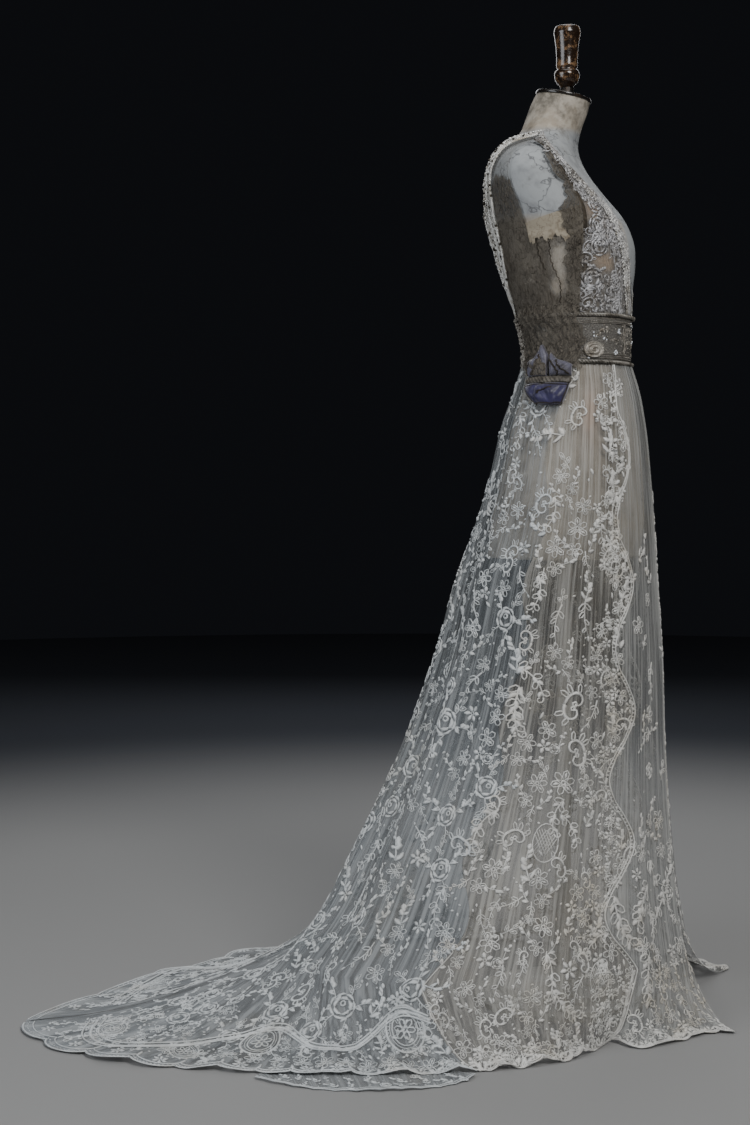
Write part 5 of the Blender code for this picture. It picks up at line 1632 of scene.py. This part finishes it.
# weight, size in metres and share of the size kept clear; a star marks the kinds made in both hands
skirtKinds = bothHands({
    "posy*": (1.3, 0.034, 0.74), "trail*": (0.9, 0.04, 0.72), "wreath": (1.2, 0.038, 0.74),
    "spray*": (1.2, 0.025, 0.62),
    "curl*": (1.7, 0.024, 0.66), "garland*": (1.2, 0.034, 0.54), "longGarland": (0.5, 0.04, 0.52),
    "petalFlower": (1.4, 0.0165, 0.9), "fivePetal": (1.4, 0.014, 0.9), "starFlower": (1.8, 0.0135, 0.9),
    "rose": (0.8, 0.0135, 1.1), "bells*": (1.6, 0.025, 0.58), "buds": (2.8, 0.0155, 0.74), "leaf": (2.4, 0.0115, 0.6),
    "dot": (9.0, 0.0022, 1.5),
})
edgeKinds = {"leaf": (3.0, 0.012, 0.5), "buds": (1.5, 0.012, 0.7), "spray": (1.0, 0.015, 0.62),
    "fivePetal": (0.8, 0.0095, 0.9)}
columnKinds = bothHands({
    "posy*": (0.9, 0.028, 0.68), "spray*": (1.4, 0.022, 0.6), "curl*": (1.6, 0.021, 0.62),
    "garland": (0.8, 0.027, 0.52),
    "bells": (1.4, 0.022, 0.56), "buds": (2.4, 0.0145, 0.7), "fivePetal": (1.2, 0.013, 0.88),
    "starFlower": (1.0, 0.012, 0.88), "leaf": (4.0, 0.011, 0.5),
})
trainKinds = dict(skirtKinds, rose=(2.2, 0.0165, 1.05), starFlower=(2.8, 0.015, 0.95), dot=(16.0, 0.0026, 1.6),
    bouquet=(0.6, 0.044, 0.78), bouquetLeft=(0.6, 0.044, 0.78), garland=(0.5, 0.032, 0.6),
    garlandLeft=(0.4, 0.032, 0.6), longGarland=(0.2, 0.036, 0.6))
# small work that fills what the larger motifs leave low on the right of the side panel
fillKinds = {"buds": (2.0, 0.0115, 0.66), "fivePetal": (1.0, 0.0095, 0.82), "leaf": (2.0, 0.01, 0.5),
    "spray": (1.0, 0.015, 0.56),
    "curl": (1.0, 0.014, 0.58), "bells": (0.8, 0.016, 0.52)}
# motifs that stand out on the right of the skirt: kind, place round and down the skirt, turn, size
rightMotifs = {
    "side": [("spray", 0.585, 0.12, 1.6, 0.03), ("wreath", 0.3, 0.33, 0.2, 0.045), ("trail", 0.42, 0.3, 0.3, 0.046),
        ("trailLeft", 0.5, 0.33, -0.2, 0.044), ("bells", 0.39, 0.42, 0.1, 0.032), ("bells", 0.47, 0.43, -0.1, 0.03),
        ("curl", 0.42, 0.56, 0.1, 0.034), ("curlLeft", 0.355, 0.64, 0.0, 0.032), ("petalFlower", 0.4, 0.69, 0.0,
            0.021),
        ("spray", 0.32, 0.12, 0.2, 0.032), ("sprayLeft", 0.285, 0.19, -0.2, 0.034), ("garland", 0.3, 0.26, 0.0,
            0.036), ("lattice", 0.42, 0.785, 0.0, 0.021), ("lattice", 0.29, 1.01, 0.0, 0.018)],
    "back": [("rose", 0.9, 0.79, 0.0, 0.021), ("rose", 0.845, 0.755, 0.8, 0.019), ("rose", 0.925, 0.885, 0.5, 0.019),
        ("starFlower", 0.8, 0.86, 0.3, 0.02), ("starFlower", 0.86, 0.9, 0.0, 0.017), ("wreath", 0.71, 0.19, 0.2,
            0.036),
        ("spray", 0.74, 0.8, 0.5, 0.03), ("trail", 0.66, 0.95, 0.2, 0.04), ("curl", 0.76, 1.0, 0.4, 0.026)],
}


def sideDensity(a, b):
    # close from the waist down in front, open over the hip, close again at the hem
    front = np.exp(-((a - 0.265) / 0.06) ** 4)
    hip = ramp(b, 0.17, 0.27)
    return np.clip(0.04 + 0.96 * hip + front, 0, 1)


def backDensity(a, b):
    return np.clip(0.35 + 0.65 * ramp(b, 0.12, 0.4), 0, 1)


trainWave = {"centre": 0.62, "period": 0.21, "swing": 0.13, "rise": 1.35, "level": 1.28, "most": 1.7, "gap": 0.06}


def waveLine(s):
    # a broad band that swings over the medallions and lies lower towards the train's tip
    base = np.minimum(trainWave["level"] + (s - trainWave["centre"]) * trainWave["rise"], trainWave["most"])
    return base - trainWave["swing"] * np.cos(fullTurn * (s - trainWave["centre"]) / trainWave["period"])


def hemWork(side, start, end, count):
    # two cords, a row of knots and small rosettes that follow the scallops of the hem
    cloth = skirtCloth(side)
    s = np.linspace(start, end, count)
    edge = scallopEnd(s)
    parts = [cordOn(cloth, s, edge - off, wide, 0.0012) for off, wide in ((0.006, 0.0042), (0.04, 0.0026))]
    knots = np.linspace(start, end, int((end - start) * 380))
    spots = [("dot", a, b, 0.0, 0.0023) for a, b in zip(knots, scallopEnd(knots) - 0.022)]
    lobes = (np.arange(31) + 0.5) / 31
    lobes = lobes[(lobes > start) & (lobes < end)]
    spots += [("starFlower", a, 1.915, 0.3 * k, 0.0125) for k, a in enumerate(lobes)]
    spots += [("leaf", a + 0.5 / 31, 1.905, 0.2 * (-1) ** k, 0.015) for k, a in enumerate(lobes)
        if a + 0.5 / 31 < end]
    return parts, spots


for mark, side in sides:
    skin, cloth, fall = skirtSkin(side), skirtCloth(side), fallOf(side)
    seed = 40 if side == rightSide else 90
    chosen = rightMotifs if side == rightSide else {"side": (), "back": ()}
    tries = 5200 if side == rightSide else 640
    edgeSpots = spreadSpots(skin, 900, level(0.006), level(0.034), 0.22, 1.88, edgeKinds, seed + 9)
    edgeSpots = spreadSpots(skin, 700, level(0.012), near(-0.018), 1.45, 1.88, columnKinds, seed + 10,
        spacing=0.8, fixed=edgeSpots)
    frontSpots = spreadSpots(skin, 1500, level(0.012), near(-0.018), 0.3, 1.86, skirtKinds, seed,
        lambda a, b: np.clip(0.03 + 0.97 * ramp(b, 0.7, 1.0), 0, 1), fixed=edgeSpots)
    columnSpots = spreadSpots(skin, tries // 2, near(0.014), near(0.08), 0.012, 1.8,
        columnKinds, seed + 7, spacing=0.8)
    columnSpots = spreadSpots(skin, tries // 2, near(0.012), far(-0.006), 1.5, 1.9,
        columnKinds, seed + 8, spacing=0.62 if side == rightSide else 0.8, fixed=columnSpots)
    sideSpots = spreadSpots(skin, tries, near(0.016), far(-0.004), 0.015, 1.86, skirtKinds,
        seed + 1, sideDensity, fixed=[*chosen["side"], *columnSpots])
    if side == rightSide:
        sideSpots = spreadSpots(skin, 800, near(0.016), far(-0.006), 0.75, 1.9, fillKinds,
            seed + 12, lambda a, b: 0.2 + 0.8 * ramp(b, 0.8, 1.1), fixed=sideSpots, room=0.5)
    backSpots = spreadSpots(skin, tries, far(0.008), level(0.985), 0.03, 1.39, trainKinds, seed + 2,
        backDensity, fixed=chosen["back"])
    medals = [("medallion", s, waveLine(s) + 0.165, 0.1, 0.03) for s in (0.62, 0.83)]
    medals += [("medallion", 0.962, 1.74, 1.3, 0.024), ("medallion", 0.885, 1.78, 1.2, 0.022)]
    crowns = [("starFlower", s, waveLine(s) - 0.055, 0.0, 0.013) for s in (0.62, 0.83)]
    rosettes = [("petalFlower", s, 1.8, s * 9, 0.0165) for s in np.arange(0.585, 0.98, 0.026)]
    borderFixed = medals + crowns + rosettes
    borderSpots = spreadSpots(skin, tries * 3 // 4, far(0.008), level(0.985), 1.42, 1.87, trainKinds, seed + 3,
        spacing=0.86, fixed=borderFixed)
    borderSpots = spreadSpots(skin, 1000, level(0.885), level(0.992), 1.42, 1.88, edgeKinds, seed + 11,
        spacing=0.72, fixed=borderSpots)
    band3 = np.linspace(far(0.004)(1.2), 0.985, 420)
    bandParts = [cordOn(cloth, band3, waveLine(band3) + off, wide, rise, lift) for off, wide, rise, lift in
        ((0.0, 0.0036, 0.0018, 0.001), (trainWave["gap"], 0.0036, 0.0018, 0.001), (trainWave["gap"] / 2, 0.006,
            0.0004, 0.0006))]
    knots = np.linspace(0.575, 0.985, 170)
    borderSpots += [("dot", a, b, 1.5, 0.0036) for a, b in zip(knots, waveLine(knots) + trainWave["gap"] / 2)]
    v = np.linspace(0.0, 1.97, 420)
    edgeCords = [cordOn(cloth, near(off)(v), v, wide, 0.0016, 0.0006) for off, wide in ((0.003, 0.0034),
        (0.0115, 0.0018))]
    lowV = np.linspace(0.95, 1.97, 240)
    edgeCords += [cordOn(cloth, far(-0.003)(lowV), lowV, 0.002, 0.001)]
    scallopKnots = np.linspace(0.01, 1.86, 300)
    sideSpots += [("dot", a, b, 0.0, 0.0022) for a, b in zip(near(0.008)(scallopKnots), scallopKnots)]
    for name, spots, cords, key, slotName, hemAt in (
            ("skirt_front", frontSpots, [], "motif", "lace", (0.002, near(-0.002)(1.95), 240)),
            ("skirt_side", sideSpots, edgeCords, "motif", "lace", (near(0.002)(1.95), far(-0.002)(1.95), 300)),
            ("skirt_back", backSpots, [], "trainMotif", "lace", None),
            ("train_border", borderSpots, bandParts, "trainMotif", "train_lace", (far(0.002)(1.95), 0.998, 420))):
        if hemAt:
            hemParts, hemSpots = hemWork(side, *hemAt)
            cords, spots = cords + hemParts, spots + hemSpots
        motifs = layMotifs(skin, cloth, -side, spots, 0.0004, move=fall)
        piece = hangWork(f"{name}_{mark}_lace", [motifs, *cords], key, slotName)
        print("lace on", name, mark, len(spots), len(piece.data.polygons))
underCloth = underHemCloth(rightSide)
s = np.linspace(*underHem["span"], 200)
spots = spreadSpots(underCloth, 500, level(underHem["span"][0] + 0.012), level(underHem["span"][1] - 0.012), 0.4,
    0.86, {"spray": (1, 0.013, 0.9), "buds": (1, 0.01, 0.9), "rose": (0.6, 0.009, 1.1), "dot": (3, 0.0022, 2.0)}, 61)
hemCords = [cordOn(underCloth, s, 0.975 + 0 * s, 0.0034, 0.001), cordOn(underCloth, s, 0.92 + 0 * s, 0.0016, 0.0008)]
hangWork("under_net_hem_R_lace", [layMotifs(underCloth, underCloth, 1.0, spots, 0.0003), *hemCords], "trainMotif",
    "net")


# stage, lights and camera
stage = {"floor": (0.32, 0.32, 0.318), "far": (0.046, 0.05, 0.06), "radius": 7.0, "fade": (1.5, 3.4)}


def makeStage():
    # a round floor, pale about the gown and dark far off
    radius, turn = np.array([0.02, 1.0, 2.0, 3.0, 5.0, stage["radius"]])[:, None], np.linspace(0, fullTurn, 96,
        endpoint=False)
    grid = np.stack([radius * np.cos(turn), radius * np.sin(turn), 0 * radius * turn], axis=-1)
    points = np.concatenate([grid.reshape(-1, 3), [[0.0, 0.0, 0.0]]])
    tris = fan(96, len(points) - 1)
    material, tree, shader, place = startMaterial("studioPaper", dict(roughness=0.9, specular=0.1))
    away = tree.nodes.new("ShaderNodeVectorMath")
    away.operation = "LENGTH"
    tree.links.new(place.outputs["Object"], away.inputs[0])
    far = rangeNode(tree, away.outputs["Value"], *stage["fade"])
    tree.links.new(mixColour(tree, far, stage["floor"], stage["far"]), shader.inputs["Base Color"])
    floor = buildMesh("studio_floor", points, gridQuads(6, 96, True, True), tris, material)


makeStage()


def softLight(name, place, aim, size, power, colour=(1, 1, 1)):
    lamp = bpy.data.lights.new(name, "AREA")
    lamp.shape, lamp.size, lamp.energy, lamp.color = "DISK", size, power, colour
    holder = bpy.data.objects.new(name, lamp)
    holder.location = place
    holder.rotation_euler = (Vector(aim) - Vector(place)).to_track_quat("-Z", "Y").to_euler()
    bpy.context.scene.collection.objects.link(holder)


softLight("key", (1.6, -3.0, 3.0), (0.0, 0.0, 0.8), 1.8, 100, (1.0, 0.99, 0.975))
softLight("fill", (-2.6, -2.6, 1.8), (-0.2, 0.0, 0.6), 2.4, 58, (0.93, 0.96, 1.0))
softLight("behind", (-0.8, 3.4, 2.6), (-0.2, 0.0, 0.6), 3.2, 42, (0.97, 0.98, 1.0))
softLight("above", (0.2, -0.3, 4.6), (0.0, 0.0, 0.5), 3.0, 42, (1.0, 1.0, 1.0))
world = bpy.data.worlds.new("studio")
bpy.context.scene.world = world
world.use_nodes = True
world.node_tree.nodes["Background"].inputs["Color"].default_value = (0.0052, 0.0056, 0.0068, 1.0)
world.node_tree.nodes["Background"].inputs["Strength"].default_value = 1.0

lens = bpy.data.cameras.new("camera")
lens.sensor_fit = "VERTICAL"
lens.sensor_height = view["filmHeight"]
lens.lens = view["lens"]
camera = bpy.data.objects.new("camera", lens)
camera.location = view["place"]
camera.rotation_euler = (math.pi / 2 - view["tilt"], 0.0, view["turn"])
bpy.context.scene.collection.objects.link(camera)
bpy.context.scene.camera = camera

# what was cut: width and length of the flat piece, its area, how it is held, what it rests on and
# the needlework that goes with it; R and L alike where the name ends in X
cuts = {
    "skirt_front_X": ((0.4, 1.28), 0.205, "gathered", ("waistband",), ("skirt_front_X_lace",)),
    "skirt_side_X": ((0.61, 1.28), 0.25, "gathered", ("waistband",), ("skirt_side_X_lace",)),
    "skirt_back_X": ((0.7, 1.26), 0.4, "gathered", ("waistband",), ("skirt_back_X_lace",)),
    "train_border_X": ((1.05, 0.29), 0.125, "laid", ("skirt_back_X",), ("train_border_X_lace",)),
    "neckline_band_X": ((0.024, 0.4), 0.0064, "stretched", ("bodice_front_X",), ("neckline_band_X_lace",)),
    "bodice_front_X": ((0.11, 0.38), 0.0155, "stretched", ("form_torso",), ("bodice_front_X_scrolls",)),
    "armhole_strip_X": ((0.01, 0.21), 0.0015, "stretched", ("bodice_front_X",), ()),
    "bodice_back_X": ((0.102, 0.35), 0.0215, "draped", ("form_torso",), ()),
    "back_strap_X": ((0.106, 0.4), 0.0255, "stretched", ("form_torso",),
        ("back_strap_X_beads", "back_strap_X_dark_beads")),
    "bodice_side_X": ((0.088, 0.125), 0.0089, "stretched", ("form_torso",), ("bodice_side_X_threads",)),
    "seam_net_X": ((0.06, 0.31), 0.008, "draped", ("armhole_strip_X",), ()),
    "form_cover_edge_X": ((0.176, 0.06), 0.0041, "stretched", ("form_torso",), ()),
    "waistband": ((0.69, 0.085), 0.057, "stretched", ("form_torso",),
        ("waistband_crystals", "waistband_scrolls", "medallion_boss", "braid_top_rope", "braid_bottom_rope")),
    "sash_loop_front": ((0.061, 0.046), 0.0022, "folded", ("waistband",), ()),
    "sash_loop_back": ((0.064, 0.072), 0.0029, "folded", ("waistband",), ()),
    "sash_braid": ((0.122, 0.024), 0.0022, "folded", ("sash_loop_back",), ()),
    "sash_pouch": ((0.11, 0.06), 0.0049, "folded", ("sash_braid",), ("sash_dark_thread",)),
    "sash_torn_net": ((0.044, 0.03), 0.0009, "draped", ("sash_loop_back",), ()),
    "tarnished_overlap_R": ((0.142, 0.136), 0.015, "draped", ("waistband",), ()),
    "under_net_hem": ((0.38, 0.106), 0.027, "laid", ("train_border_R",), ("under_net_hem_R_lace",)),
}
for name, (flat, area, held, restsOn, parts) in cuts.items():
    for mark in ("R", "L") if name.endswith("_X") else ("",):
        key = name[:-1] + mark if mark else name

print("scene done")
